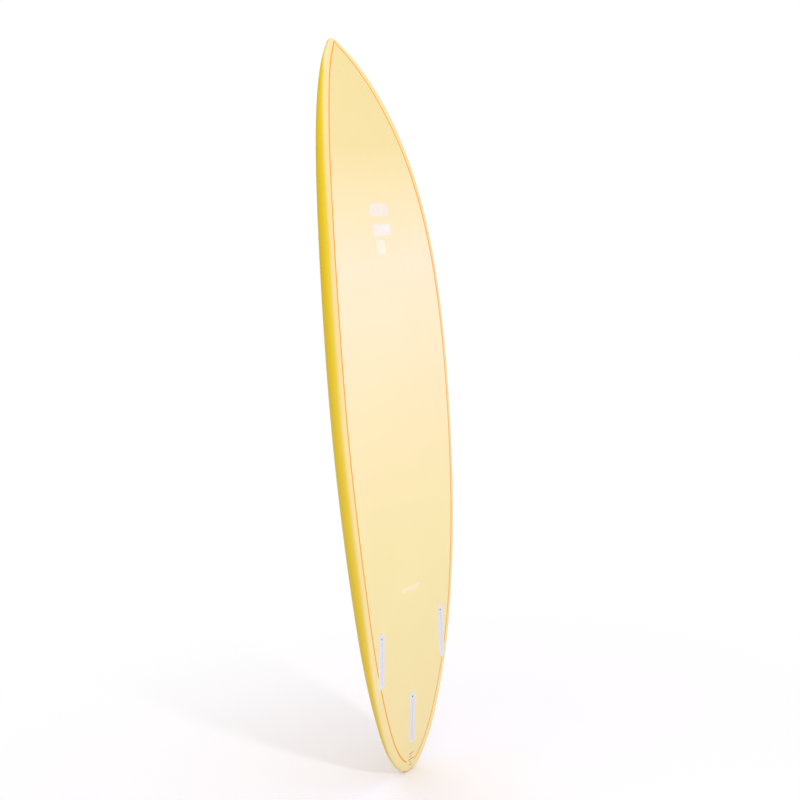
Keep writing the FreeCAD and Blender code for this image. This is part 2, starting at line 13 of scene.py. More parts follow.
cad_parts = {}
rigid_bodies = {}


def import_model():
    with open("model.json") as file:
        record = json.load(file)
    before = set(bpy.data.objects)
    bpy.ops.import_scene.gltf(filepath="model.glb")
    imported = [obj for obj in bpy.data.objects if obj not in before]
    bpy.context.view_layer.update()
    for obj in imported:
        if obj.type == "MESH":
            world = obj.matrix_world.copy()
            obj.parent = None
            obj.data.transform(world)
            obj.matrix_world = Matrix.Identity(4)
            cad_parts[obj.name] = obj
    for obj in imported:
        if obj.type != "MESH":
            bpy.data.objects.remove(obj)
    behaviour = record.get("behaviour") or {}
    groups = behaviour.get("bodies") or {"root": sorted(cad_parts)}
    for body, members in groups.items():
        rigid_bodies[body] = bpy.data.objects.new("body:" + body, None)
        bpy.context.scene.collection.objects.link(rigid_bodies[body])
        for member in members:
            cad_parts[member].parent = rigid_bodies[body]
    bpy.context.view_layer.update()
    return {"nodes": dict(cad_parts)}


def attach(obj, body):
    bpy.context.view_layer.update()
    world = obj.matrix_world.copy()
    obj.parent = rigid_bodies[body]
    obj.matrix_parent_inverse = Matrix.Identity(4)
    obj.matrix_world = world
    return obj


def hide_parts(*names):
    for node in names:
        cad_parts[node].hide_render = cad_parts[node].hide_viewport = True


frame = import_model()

# ------------------------------------------------------------------ sizes, in millimetres
LENGTH = 1830.0
SHIFT = np.array([0.0, -64.2544, -0.3])  # from the board's frame to the scene's
TIP = 3.0 / LENGTH  # softens the nose's point, as a share of the length

# Outline: shares of the length from the tail, and the half width at each share but the two ends
OUTLINE_SHARES = np.array([
    0.0, 0.012, 0.035, 0.08, 0.15, 0.25, 0.37, 0.50,
    0.62, 0.73, 0.83, 0.91, 0.965, 0.99, 1.0,
])
OUTLINE_HALVES = np.array([
    47.4, 80.7, 119.3, 159.0, 194.2, 218.2, 229.4, 226.5, 210.2, 176.3, 125.9, 67.5, 26.8,
])

# Rocker and thickness: the share of the length where each starts to change, then
# (amount, power) of the change towards the nose and towards the tail
ROCKER_START, ROCKER_NOSE, ROCKER_TAIL = 0.47, (115.7, 3.3), (51.5, 2.42)
THICK_START, THICK_NOSE, THICK_TAIL = 0.52, (0.756, 2.92), (0.7, 2.8)
THICKNESS = 60.6
END_ROUND = 9.0  # length over which the ends close

# Cross-section
APEX_SHARE = 0.342  # height of the rail's apex as a share of the thickness
RAIL_RATIO = 1.3  # width of the curved rail over the apex height
RAIL_LIMIT = 0.85  # greatest width of the curved rail as a share of the half width
LOWER_POWER, DECK_POWER = 2.2, 2.5  # superellipse powers

SKIN = 0.6
ROWS = 470
LAP_COLUMNS, DECK_COLUMNS, PANEL_COLUMNS = 18, 34, 26  # per side

# Pinline: inset from the outline, less two amounts (mm) that fade over a length from the nose
PIN_INSET, PIN_WIDTH, PIN_CROWN = 22.1, 3.5, 0.07
PIN_NOSE_BROAD, PIN_NOSE_SHARP = (8.8, 95.0), (6.6, 10.0)
PIN_GAP_PORT, PIN_GAP_STARBOARD = 14.0, 20.0  # where each side begins, out from the centreline

# Fin boxes: (length, width, shift along the box) of each rounded shape
FLANGE, BODY, SLOT = (140.7, 22.0, 0.0), (134.0, 15.0, 0.0), (114.6, 7.1, -6.0)
FLANGE_THICK, FLANGE_CORNER = 3.0, 10.9
BED = 1.2  # width of the resin around boxes and plug
BED_LAP = 0.06  # how far the bed reaches under the skin's edge
SCREW_MOUTH, SCREW_TILT = 57.4, math.radians(30.0)
SCREW_HOLE = 2.06

# Leash plug
PLUG_RADIUS, PIN_DEPTH = 15.5, 5.5
PLUG_OUT = np.array([0.0357667, 0.9992403, 0.0154799])


# ------------------------------------------------------------------ hull shape
def outline_base(share):
    rest = np.clip(1.0 - share, 0.0, None)
    return np.sqrt(np.clip(share, 0, None)) * np.sqrt(rest * (rest + 2 * TIP)) * (rest + TIP) ** -0.15


def natural_spline(xs, ys):
    """Natural cubic spline through the points."""
    n = len(xs)
    gaps = np.diff(xs)
    system = np.zeros((n, n))
    known = np.zeros(n)
    system[0, 0] = system[-1, -1] = 1
    for i in range(1, n - 1):
        before, after = gaps[i - 1], gaps[i]
        system[i, i - 1], system[i, i], system[i, i + 1] = before, 2 * (before + after), after
        known[i] = 6 * ((ys[i + 1] - ys[i]) / after - (ys[i] - ys[i - 1]) / before)
    bend = np.linalg.solve(system, known)

    def at(x):
        x = np.asarray(x, float)
        i = np.clip(np.searchsorted(xs, x, side="left") - 1, 0, n - 2)
        right, left, gap = xs[i + 1] - x, x - xs[i], gaps[i]
        return (bend[i] * right**3 / (6 * gap) + bend[i + 1] * left**3 / (6 * gap)
                + (ys[i] / gap - bend[i] * gap / 6) * right
                + (ys[i + 1] / gap - bend[i + 1] * gap / 6) * left)

    return at


ratios = OUTLINE_HALVES / outline_base(OUTLINE_SHARES[1:-1])
outline_ratio = natural_spline(OUTLINE_SHARES, np.concatenate([[ratios[0]], ratios, [ratios[-1]]]))


def length_share(z):
    return np.clip(np.asarray(z, float) / LENGTH, 0, 1)


def half_width(z):
    share = length_share(z)
    return outline_ratio(share) * outline_base(share)


def towards_ends(z, start):
    """0 at the start share, rising to 1 at the nose and at the tail."""
    share = length_share(z)
    return (np.clip((share - start) / (1 - start), 0, None),
            np.clip((start - share) / start, 0, None))


def rocker(z):
    nose, tail = towards_ends(z, ROCKER_START)
    return nose ** ROCKER_NOSE[1] * ROCKER_NOSE[0] + tail ** ROCKER_TAIL[1] * ROCKER_TAIL[0]


def thickness(z):
    nose, tail = towards_ends(z, THICK_START)
    return THICKNESS * (
        1 - THICK_NOSE[0] * nose ** THICK_NOSE[1] - THICK_TAIL[0] * tail ** THICK_TAIL[1])


def end_closing(z):
    z = np.asarray(z, float)
    inward = np.clip(np.minimum(z, LENGTH - z) / END_ROUND, 0, 1)
    return np.sqrt(np.clip(1 - (1 - inward) ** 2, 0, 1))


def section(z):
    """Half width, y of the rail's apex, depth below it, rise above it, width of the curved rail."""
    half, thick, closing = np.maximum(half_width(z), 1e-6), thickness(z), end_closing(z)
    apex = APEX_SHARE * thick
    rail = ((RAIL_RATIO * apex) ** -4.0 + (RAIL_LIMIT * half) ** -4.0) ** -0.25
    return half, rocker(z) + apex, apex * closing, (thick - apex) * closing, rail


def lower_y(x, z):
    half, apex, below, _, rail = section(z)
    u = np.clip((np.abs(x) - (half - rail)) / rail, 0, 1)
    return apex - below * (1 - u**LOWER_POWER) ** (1 / LOWER_POWER)


def upper_y(x, z):
    half, apex, _, above, _ = section(z)
    u = np.clip(np.abs(x) / half, 0, 1)
    return apex + above * (1 - u**DECK_POWER) ** (1 / DECK_POWER)


def lower_normal(x, z, step=0.05):
    slope_x = (lower_y(x + step, z) - lower_y(x - step, z)) / (2 * step)
    slope_z = (lower_y(x, z + step) - lower_y(x, z - step)) / (2 * step)
    normal = np.stack([slope_x, -np.ones_like(slope_x), slope_z], -1)
    return normal / np.linalg.norm(normal, axis=-1, keepdims=True)


def implicit(x, y, z):
    """1 on the hull, more outside: the lower half up to the rail's apex, the deck above it."""
    half, apex, below, above, rail = section(z)
    across = np.abs(x)
    u = np.clip((across - (half - rail)) / rail, 0, None)
    down = np.clip(apex - y, 0, None) / np.maximum(below, 1e-6)
    up = np.clip(y - apex, 0, None) / np.maximum(above, 1e-6)
    return np.where(y <= apex, u**LOWER_POWER + down**LOWER_POWER,
                    (across / half) ** DECK_POWER + up**DECK_POWER)


def hull_normals(points, step=0.03):
    x, y, z = points[:, 0], points[:, 1], points[:, 2]
    slope = np.stack([
        implicit(x + step, y, z) - implicit(x - step, y, z),
        implicit(x, y + step, z) - implicit(x, y - step, z),
        implicit(x, y, z + step) - implicit(x, y, z - step),
    ], -1)
    return slope / np.maximum(np.linalg.norm(slope, axis=-1, keepdims=True), 1e-12)


# Length along the curved rail's section, against the place across it
sweep = np.linspace(0, np.pi / 2, 400)
rail_arc = np.stack([
    np.sin(sweep) ** (2 / LOWER_POWER) * RAIL_RATIO,
    1 - np.cos(sweep) ** (2 / LOWER_POWER),
], 1)
arc_run = np.concatenate([[0], np.cumsum(np.hypot(*np.diff(rail_arc, axis=0).T))])
arc_across, arc_place = rail_arc[:, 0] / RAIL_RATIO, 1 - arc_run / arc_run[-1]


def rail_place(points):
    """0 at the rail's apex, 1 where the rail meets the flat bottom, negative towards the deck."""
    x, y, z = points[:, 0], points[:, 1], points[:, 2]
    half, apex, _, _, rail = section(z)
    across = np.abs(x)
    u = (across - (half - rail)) / rail
    arc = rail / RAIL_RATIO * arc_run[-1]
    below = np.where(u > 0, np.interp(u, arc_across, arc_place), 1 + (half - rail - across) / arc)
    above = -(np.clip(half - across, 0, None) + 0.7 * np.clip(y - apex, 0, None)) / arc
    return np.where(y <= apex, below, above)


# ------------------------------------------------------------------ mesh helpers
def to_metres(points):
    return (np.asarray(points, float) + SHIFT) * 0.001


def board_points(ob):
    """The object's vertices in the board's frame."""
    co = np.zeros(len(ob.data.vertices) * 3)
    ob.data.vertices.foreach_get("co", co)
    return co.reshape(-1, 3) * 1000 - SHIFT


def shade_smooth(mesh):
    mesh.polygons.foreach_set("use_smooth", [True] * len(mesh.polygons))


def add_mesh(name, points, faces, smooth=False):
    """A mesh object from points in metres."""
    mesh = bpy.data.meshes.new(name)
    mesh.from_pydata([tuple(p) for p in points], [], [tuple(f) for f in faces])
    mesh.validate()
    mesh.update()
    ob = bpy.data.objects.new(name, mesh)
    bpy.context.scene.collection.objects.link(ob)
    if smooth:
        shade_smooth(mesh)
    return ob


@contextmanager
def editing(ob):
    bm = bmesh.new()
    bm.from_mesh(ob.data)
    yield bm
    bm.to_mesh(ob.data)
    bm.free()
    ob.data.update()


def merge_close(bm, dist):
    bmesh.ops.remove_doubles(bm, verts=bm.verts, dist=dist)
    bmesh.ops.dissolve_degenerate(bm, dist=dist, edges=bm.edges)


def weld(ob, dist=2e-6):
    with editing(ob) as bm:
        merge_close(bm, dist)
        bmesh.ops.recalc_face_normals(bm, faces=bm.faces)


def tidy_cut(ob):
    """Cleans up after a cut: no doubles, no loose vertices, no face over four corners."""
    with editing(ob) as bm:
        merge_close(bm, 1e-6)
        loose = [v for v in bm.verts if not v.link_faces]
        if loose:
            bmesh.ops.delete(bm, geom=loose, context="VERTS")
        big = [f for f in bm.faces if len(f.verts) > 4]
        if big:
            bmesh.ops.triangulate(bm, faces=big)


def smooth_by_angle(ob, degrees):
    shade_smooth(ob.data)
    crease = math.radians(degrees)
    with editing(ob) as bm:
        for e in bm.edges:
            if len(e.link_faces) == 2:
                e.smooth = e.calc_face_angle(0.0) < crease


def solid(name, points, faces, crease, merge=1e-6):
    """A welded piece, sharp where its faces meet at more than the crease angle in degrees."""
    ob = add_mesh(name, to_metres(points), faces)
    weld(ob, merge)
    smooth_by_angle(ob, crease)
    return ob


def apply_modifier(ob, modifier):
    bpy.context.view_layer.objects.active = ob
    for other in bpy.context.selected_objects:
        other.select_set(False)
    ob.select_set(True)
    bpy.ops.object.modifier_apply(modifier=modifier.name)


def solidify(ob, thick):
    modifier = ob.modifiers.new("thick", "SOLIDIFY")
    modifier.thickness = thick * 0.001
    modifier.offset = -1.0
    modifier.use_even_offset = False
    modifier.use_quality_normals = True
    apply_modifier(ob, modifier)


def carve(tool, *obs):
    """Cuts the tool out of each object, then removes the tool."""
    for ob in obs:
        modifier = ob.modifiers.new("cut", "BOOLEAN")
        modifier.operation = "DIFFERENCE"
        modifier.solver = "EXACT"
        modifier.object = tool
        apply_modifier(ob, modifier)
    bpy.data.objects.remove(tool)


def set_float(ob, name, values):
    attribute = ob.data.attributes.new(name, "FLOAT", "POINT")
    attribute.data.foreach_set("value", np.asarray(values, np.float32))


def face_out(ob):
    """Turns an open sheet so that its faces look away from the board."""
    normals = hull_normals(board_points(ob))
    outward = 0.0
    for poly in ob.data.polygons:
        outward += float(normals[poly.vertices[0]] @ np.array(poly.normal)) * poly.area
    if outward < 0:
        ob.data.flip_normals()


def hull_shading(ob):
    """Shades faces that lie along the hull with the hull's own normals, and cut walls flat."""
    mesh = ob.data
    shade_smooth(mesh)
    vertex = np.zeros(len(mesh.loops), int)
    mesh.loops.foreach_get("vertex_index", vertex)
    flat = np.zeros(len(mesh.polygons) * 3)
    mesh.polygons.foreach_get("normal", flat)
    corners = np.zeros(len(mesh.polygons), int)
    mesh.polygons.foreach_get("loop_total", corners)
    flat = flat.reshape(-1, 3)[np.repeat(np.arange(len(corners)), corners)]
    hull = hull_normals(board_points(ob))[vertex]
    along = (hull * flat).sum(1)
    chosen = np.where((along > 0.75)[:, None], hull,
                      np.where((along < -0.75)[:, None], -hull, flat))
    bad = ~np.isfinite(chosen).all(1) | (np.linalg.norm(chosen, axis=1) < 0.5)
    chosen[bad] = flat[bad]
    mesh.normals_split_custom_set([tuple(v) for v in chosen])


def grid_faces(rows, columns, base, flip):
    faces = []
    for i in range(rows - 1):
        for j in range(columns - 1):
            a = base + i * columns + j
            quad = (a, a + 1, a + columns + 1, a + columns)
            faces.append(quad[::-1] if flip else quad)
    return faces


def sheet(name, parts, merge=2e-6):
    """One open mesh out of (grid of points, flip its faces)."""
    points, faces = [], []
    for grid, flip in parts:
        base = sum(len(p) for p in points)
        faces += grid_faces(grid.shape[0], grid.shape[1], base, flip)
        points.append(grid.reshape(-1, 3))
    ob = add_mesh(name, to_metres(np.concatenate(points)), faces, smooth=True)
    weld(ob, merge)
    face_out(ob)
    return ob


def on_side(grid, side):
    """A copy of a port grid on port (1) or starboard (-1)."""
    copy = grid.copy()
    copy[..., 0] *= side
    return copy


def band(a, b, n, flip=False):
    """Quads between two rings of n points that start at a and b."""
    faces = []
    for i in range(n):
        k = (i + 1) % n
        if flip:
            i, k = k, i
        faces.append((a + i, a + k, b + k, b + i))
    return faces


def fan(a, apex, n, flip=False):
    """Triangles from a ring of n points to one point."""
    pairs = [(i, (i + 1) % n) for i in range(n)]
    return [(a + k, a + i, apex) if flip else (a + i, a + k, apex) for i, k in pairs]


def ring(radius, z, n):
    angles = [2 * math.pi * k / n for k in range(n)]
    return [(radius * math.cos(a), radius * math.sin(a), z) for a in angles]


def turn_to_x(points):
    return [(z, x, y) for x, y, z in points]


# ------------------------------------------------------------------ hull skins
row_z = LENGTH * (1 - np.cos(np.pi * np.arange(ROWS) / (ROWS - 1))) / 2
row_z[0], row_z[-1] = 0.0, LENGTH
row_half = half_width(row_z)
row_half[0] = row_half[-1] = 0.0
row_apex, row_rise = section(row_z)[1], section(row_z)[3]

# Outward direction in plan at each outline point
slope = np.zeros(ROWS)
slope[1:-1] = (half_width(row_z[1:-1] + 0.004) - half_width(row_z[1:-1] - 0.004)) / 0.008
steep = np.sqrt(1 + slope**2)
out_x, out_z = 1 / steep, -slope / steep
out_x[0], out_z[0], out_x[-1], out_z[-1] = 0, -1, 0, 1

# Inset at which each outline point reaches the centreline
room = np.where(out_x > 1e-9, row_half / np.maximum(out_x, 1e-9), 1e9)
room[-1] = room[-2]

from_nose = LENGTH - row_z
pin_outer = (PIN_INSET
             - PIN_NOSE_BROAD[0] * np.exp(-((from_nose / PIN_NOSE_BROAD[1]) ** 2))
             - PIN_NOSE_SHARP[0] * np.exp(-from_nose / PIN_NOSE_SHARP[1]))
pin_inner = pin_outer + PIN_WIDTH


def inset_points(inset):
    """Plan points at an inset from every outline point, stopped on the centreline."""
    stopped = np.minimum(inset, room)
    x = np.clip(row_half - stopped * out_x, 0, None)
    x[stopped >= room - 1e-9] = 0.0
    return x, row_z - stopped * out_z


def first_on_centre(inset):
    rows = range(ROWS // 2, ROWS)
    return next((i for i in rows if inset[i] >= room[i] - 1e-9), ROWS - 1)


def strip(inset, width, shares, crown=0.0):
    """Grid on the bottom over a width inward from the inset, one row for each outline point."""
    grid = np.zeros((ROWS, len(shares), 3))
    for k, share in enumerate(shares):
        x, z = inset_points(inset + width * share)
        grid[:, k, 0], grid[:, k, 2] = x, z
        grid[:, k, 1] = lower_y(x, z)
        if crown:
            normal = lower_normal(x, np.clip(z, 1.0, LENGTH - 1.0))
            grid[:, k] += normal * crown * (1 - (2 * share - 1) ** 2)
    return grid


# (side, first row of its pinline); the bottom skin fills the bare stretch at the tail
pin_middle = inset_points(pin_outer + PIN_WIDTH / 2)[0]
PIN_STARTS = [
    (side, next(i for i in range(ROWS) if pin_middle[i] > gap))
    for side, gap in ((1, PIN_GAP_PORT), (-1, PIN_GAP_STARBOARD))
]


def rail_and_deck_skin():
    """The rail's lap as far as the pinline, and the whole deck."""
    shares = 1 - np.cos(np.pi / 2 * np.arange(LAP_COLUMNS + 1) / LAP_COLUMNS)
    lap = strip(np.zeros(ROWS), pin_outer, shares / shares[-1])
    lap[:, 0, 1] = row_apex

    angles = np.linspace(0, np.pi / 2, 361)
    cosines, sines = np.cos(angles), np.sin(angles)
    cosines[-1] = 0.0
    shares = (np.arange(DECK_COLUMNS + 1) / DECK_COLUMNS) ** 1.5
    deck = np.zeros((ROWS, DECK_COLUMNS + 1, 3))
    for i in range(ROWS):
        x = row_half[i] * cosines ** (2 / DECK_POWER)
        y = row_apex[i] + row_rise[i] * sines ** (2 / DECK_POWER)
        run = np.concatenate([[0], np.cumsum(np.hypot(np.diff(x), np.diff(y)))])
        deck[i, :, 0] = np.interp(shares * run[-1], run, x)
        deck[i, :, 1] = np.interp(shares * run[-1], run, y)
        deck[i, :, 2] = row_z[i]
    return sheet("rail_and_deck_skin", [
        (on_side(lap, 1), True), (on_side(lap, -1), False),
        (on_side(deck, 1), False), (on_side(deck, -1), True),
    ])


def pinline_strip():
    grid = strip(pin_outer, pin_inner - pin_outer, (0.0, 0.12, 0.5, 0.88, 1.0), PIN_CROWN)
    end = first_on_centre(pin_outer) + 1
    return sheet("pinline_strip",
                 [(on_side(grid[start:end], side), side > 0) for side, start in PIN_STARTS])


def bottom_skin():
    """The panel inside the pinline, and the pinline's bare stretch at the tail."""
    x, z = inset_points(pin_inner)
    end = first_on_centre(pin_inner) + 1
    across = np.linspace(-1, 1, 2 * PANEL_COLUMNS + 1)
    across = np.sign(across) * np.abs(across) ** 0.9
    panel = np.zeros((end, len(across), 3))
    panel[..., 0] = x[:end, None] * across[None, :]
    panel[..., 2] = z[:end, None]
    panel[..., 1] = lower_y(panel[..., 0], panel[..., 2])
    bare = strip(pin_outer, pin_inner - pin_outer, (0.0, 0.5, 1.0))
    return sheet("bottom_skin", [(panel, False)] + [
        (on_side(bare[:start + 1], side), side > 0) for side, start in PIN_STARTS])


wrap = rail_and_deck_skin()
pinline = pinline_strip()
bottom = bottom_skin()
for skin in (wrap, pinline, bottom):
    solidify(skin, SKIN)


# ------------------------------------------------------------------ places of the fittings
def place_of(origin, out, along):
    """Origin and axes (across, along, out) of a fitting, from its origin and two directions."""
    out, along = np.array(out, float), np.array(along, float)
    out /= np.linalg.norm(out)
    along -= out * (along @ out)
    along /= np.linalg.norm(along)
    return np.array(origin, float), np.stack([np.cross(along, out), along, out], 1)


def put(points, place):
    origin, axes = place
    return np.asarray(points, float) @ axes.T + origin


def side_box_place(side):
    return place_of(
        np.array([127.9 * side, -48.80980, 336.19643]) - SHIFT,
        out=(0, -0.9974456, -0.0714304), along=(-0.0380644 * side, -0.0713786, 0.9967227))


# name: (place, depth of the body, depth of the slot)
BOXES = {
    "port": (side_box_place(1), 16.0, 12.9),
    "starboard": (side_box_place(-1), 16.0, 12.9),
    "centre": (place_of(
        np.array([0, -31.42774, 145.29447]) - SHIFT,
        out=(0, -0.9938574, -0.1106679), along=(0, -0.1106679, 0.9938574)), 20.0, 16.6),
}
PLUG = place_of(
    np.array([30.81401, -2.10839, 95.61950]) + PLUG_OUT * PIN_DEPTH - SHIFT,
    out=PLUG_OUT, along=(0, -0.01549, 0.99988))


def screw_place(box):
    """Place of the screw's mouth, its axis leaning along the box."""
    sin, cos = math.sin(SCREW_TILT), math.cos(SCREW_TILT)
    return place_of(put([[0, SCREW_MOUTH, 0]], box)[0],
                    box[1] @ np.array([0, sin, cos]), box[1] @ np.array([0, cos, -sin]))


# ------------------------------------------------------------------ rounded and turned shapes
def half_loop(length, width, radius, shift=0.0, corner=9, side=16):
    """The +x half of a rounded rectangle, from its -y end to its +y end."""
    a, b = width / 2, length / 2
    r = min(radius, a - 0.01, b - 0.01)
    turn = np.linspace(0, math.pi / 2, corner + 1)
    points = [(a - r + r * math.sin(t), -b + r - r * math.cos(t)) for t in turn]
    points += [(a, y) for y in np.linspace(-b + r, b - r, side + 1)[1:-1]]
    points += [(a - r + r * math.cos(t), b - r + r * math.sin(t)) for t in turn]
    return [(x, y + shift) for x, y in points]


def rim(shape, grow, corner, z):
    """Loop around a (length, width, shift) shape, both sizes grown, with a corner radius."""
    length, width, shift = shape
    half = half_loop(length + grow, width + grow, corner, shift)
    return [(x, y, z) for x, y in half] + [(-x, y, z) for x, y in reversed(half)]


def tube(loops, closed=False):
    """Skin over loops in turn: capped at both ends, or closed from the last to the first."""
    n = len(loops[0])
    count = len(loops)
    faces = []
    for a in range(count if closed else count - 1):
        faces += band(a * n, (a + 1) % count * n, n)
    if not closed:
        for base in (0, (count - 1) * n):
            faces += [(base + i, base + i + 1, base + n - 2 - i, base + n - 1 - i)
                      for i in range(n // 2 - 1)]
    return [p for loop in loops for p in loop], faces


def round_cutter(profile, place, n, along_x=False):
    """Turned cutting tool from (radius, height) pairs."""
    points = [p for radius, z in profile for p in ring(radius, z, n)]
    if along_x:
        points = turn_to_x(points)
    last = (len(profile) - 1) * n
    faces = [face for a in range(0, last, n) for face in band(a, a + n, n)]
    faces += [tuple(range(n))[::-1], tuple(range(last, last + n))]
    return add_mesh("tool", to_metres(put(points, place)), faces)


def turned(name, profile, place, n=80, along_x=False):
    """Turned piece from (radius, height) pairs; a radius of 0 is a pole."""
    points, faces, rings = [], [], []
    for radius, z in profile:
        new = [(0, 0, z)] if radius < 1e-6 else ring(radius, z, n)
        rings.append(list(range(len(points), len(points) + len(new))))
        points += new
    for a, b in zip(rings, rings[1:]):
        for k in range(n):
            j = (k + 1) % n
            quad = [a[k % len(a)], a[j % len(a)], b[j % len(b)], b[k % len(b)]]
            corners = [p for i, p in enumerate(quad) if p not in quad[:i]]
            if len(corners) > 2:
                faces.append(tuple(corners))
    if along_x:
        points = turn_to_x(points)
    return solid(name, put(points, place), faces, crease=30.0)


# ------------------------------------------------------------------ pockets through the skins
POCKET_GROW = BED - BED_LAP
POCKET_BOTTOM, POCKET_TOP = -6.0, 9.0

for name, (place, _, _) in BOXES.items():
    points, faces = tube([
        rim(FLANGE, 2 * POCKET_GROW, FLANGE_CORNER + POCKET_GROW, z)
        for z in (POCKET_BOTTOM, POCKET_TOP)
    ])
    tool = add_mesh("tool", to_metres(put(points, place)), faces)
    weld(tool)
    # The centre box's pocket stays clear of the pinline and the rail
    carve(tool, *((bottom,) if name == "centre" else (bottom, pinline, wrap)))

pocket_radius = PLUG_RADIUS + BED - BED_LAP
carve(round_cutter([(pocket_radius, POCKET_BOTTOM), (pocket_radius, POCKET_TOP)], PLUG, n=96), wrap)
for skin in (wrap, pinline, bottom):
    tidy_cut(skin)
    set_float(skin, "rail", rail_place(board_points(skin)))
    hull_shading(skin)


# ------------------------------------------------------------------ fin boxes and resin beds
def fin_box(name, place, depth, slot_depth):
    # (shape, growth, corner radius, height above the mouth), up the outside, down the slot
    rows = [
        (BODY, -1.2, 5.4, -depth),
        (BODY, 0.0, 6.0, -depth + 0.6),
        (BODY, 0.0, 6.0, -FLANGE_THICK - 0.4),
        (BODY, 0.8, 6.4, -FLANGE_THICK),
        (FLANGE, -0.5, 10.65, -FLANGE_THICK),
        (FLANGE, 0.0, FLANGE_CORNER, -FLANGE_THICK + 0.25),
        (FLANGE, 0.0, FLANGE_CORNER, -0.32),
        (FLANGE, -0.18, 10.81, -0.1),
        (FLANGE, -0.6, 10.6, 0.0),
        (FLANGE, -3.0, 9.4, 0.0),
        (SLOT, 3.4, 5.2, 0.0),
        (SLOT, 1.0, 4.0, 0.0),
        (SLOT, 0.3, 3.6, -0.2),
        (SLOT, 0.0, 3.5, -0.5),
        (SLOT, -0.1, 3.45, -slot_depth / 2),
        (SLOT, -0.3, 3.35, -slot_depth + 0.9),
        (SLOT, -0.8, 3.1, -slot_depth + 0.3),
        (SLOT, -2.2, 2.4, -slot_depth),
    ]
    points, faces = tube([rim(*row) for row in rows])
    ob = solid(f"fin_box_{name}_moulding", put(points, place), faces, crease=32.0)

    # Screw hole, then its countersunk mouth
    hole = [(SCREW_HOLE, -13.2), (SCREW_HOLE, 6.0)]
    mouth = [(SCREW_HOLE, -0.7), (2.7, -0.45), (2.7, 5.0)]
    for profile in (hole, mouth):
        carve(round_cutter(profile, screw_place(place), n=40), ob)
    tidy_cut(ob)
    smooth_by_angle(ob, 28.0)

    # "slot" rises from 0 at the mouth to 1 at 3 mm down the slot; it sets how strongly the slot's
    # inside glows as painted light
    origin, axes = place
    local = (board_points(ob) - origin) @ axes
    length, width, shift = SLOT
    inside = ((np.abs(local[:, 0]) < width / 2 + 0.2)
              & (np.abs(local[:, 1] - shift) < length / 2 + 0.2))
    set_float(ob, "slot", np.where(inside, np.clip(-local[:, 2] / 3.0, 0, 1), 0.0))
    return ob


def fin_bed(name, place):
    """Resin from the hull's surface to the flange's edge."""
    outer = put(rim(FLANGE, 2 * BED, FLANGE_CORNER + BED, 0.0), place)
    outer[:, 1] = lower_y(outer[:, 0], outer[:, 2]) + 0.015
    inner = put(rim(FLANGE, 0.02, 10.91, -0.16), place)
    middle = put(rim(FLANGE, BED, FLANGE_CORNER + BED / 2, 0.0), place)
    middle[:, 1] = (outer[:, 1] + inner[:, 1]) / 2 + 0.05
    low_inner = put(rim(FLANGE, 0.02, 10.91, -2.9), place)
    low_outer = put(rim(FLANGE, 2 * BED, FLANGE_CORNER + BED, -4.1), place)
    points, faces = tube([outer, middle, inner, low_inner, low_outer], closed=True)
    return solid(f"fin_bed_{name}_fillet", points, faces, crease=35.0)


fin_boxes, fin_beds = {}, {}
for name, (place, depth, slot_depth) in BOXES.items():
    fin_boxes[name] = fin_box(name, place, depth, slot_depth)
    fin_beds[name] = fin_bed(name, place)


# ------------------------------------------------------------------ grub screws
def grub_screw(name, place):
    """Threaded rod with a hexagon socket at its top and a cupped tip."""
    major, minor, end_radius = 2.0, 1.66, 1.36
    pitch, top, length = 0.7, -0.8, 9.0
    n, steps = 40, 150
    points, faces = [], []
    for j in range(steps + 1):
        down = length * j / steps
        to_end = min(down, length - down)
        limit = end_radius + min(to_end / 0.55, 1.0) * (major - end_radius)
        for i in range(n):
            turn = i / n
            phase = (down / pitch - turn) % 1.0
            ridge = 1 - abs(2 * phase - 1)
            ridge = min(max((ridge - 0.12) / 0.7, 0.0), 1.0)
            radius = min(minor + (major - minor) * ridge, limit)
            angle = 2 * math.pi * turn
            points.append((radius * math.cos(angle), radius * math.sin(angle), top - down))
    for j in range(steps):
        faces += band(j * n, (j + 1) * n, n)

    # Cupped tip
    base = steps * n
    tip = top - length
    for radius, z in ((0.95, tip), (0.6, tip + 0.3)):
        faces += band(base, len(points), n)
        base = len(points)
        points += ring(radius, z, n)
    faces += fan(base, len(points), n)
    points.append((0, 0, tip + 0.45))

    # Hexagon socket: (width across flats, height)
    base = 0
    for flats, z in ((2.12, top), (2.0, top - 0.08), (2.0, top - 2.1)):
        faces += band(base, len(points), n, flip=True)
        base = len(points)
        for i in range(n):
            angle = 2 * math.pi * i / n
            reach = math.cos(((angle + math.pi / 6) % (math.pi / 3)) - math.pi / 6)
            radius = flats / 2 / reach
            points.append((radius * math.cos(angle), radius * math.sin(angle), z))
    faces += fan(base, len(points), n, flip=True)
    points.append((0, 0, top - 2.4))
    return solid(name, put(points, place), faces, crease=40.0, merge=5e-7)


fin_screws = {
    name: grub_screw(f"fin_screw_{name}_threaded", screw_place(place))
    for name, (place, _, _) in BOXES.items()
}


# ------------------------------------------------------------------ leash plug
def arc(centre, z, radius, start, end, count):
    return [(centre + radius * math.cos(math.radians(a)), z + radius * math.sin(math.radians(a)))
            for a in np.linspace(start, end, count)]


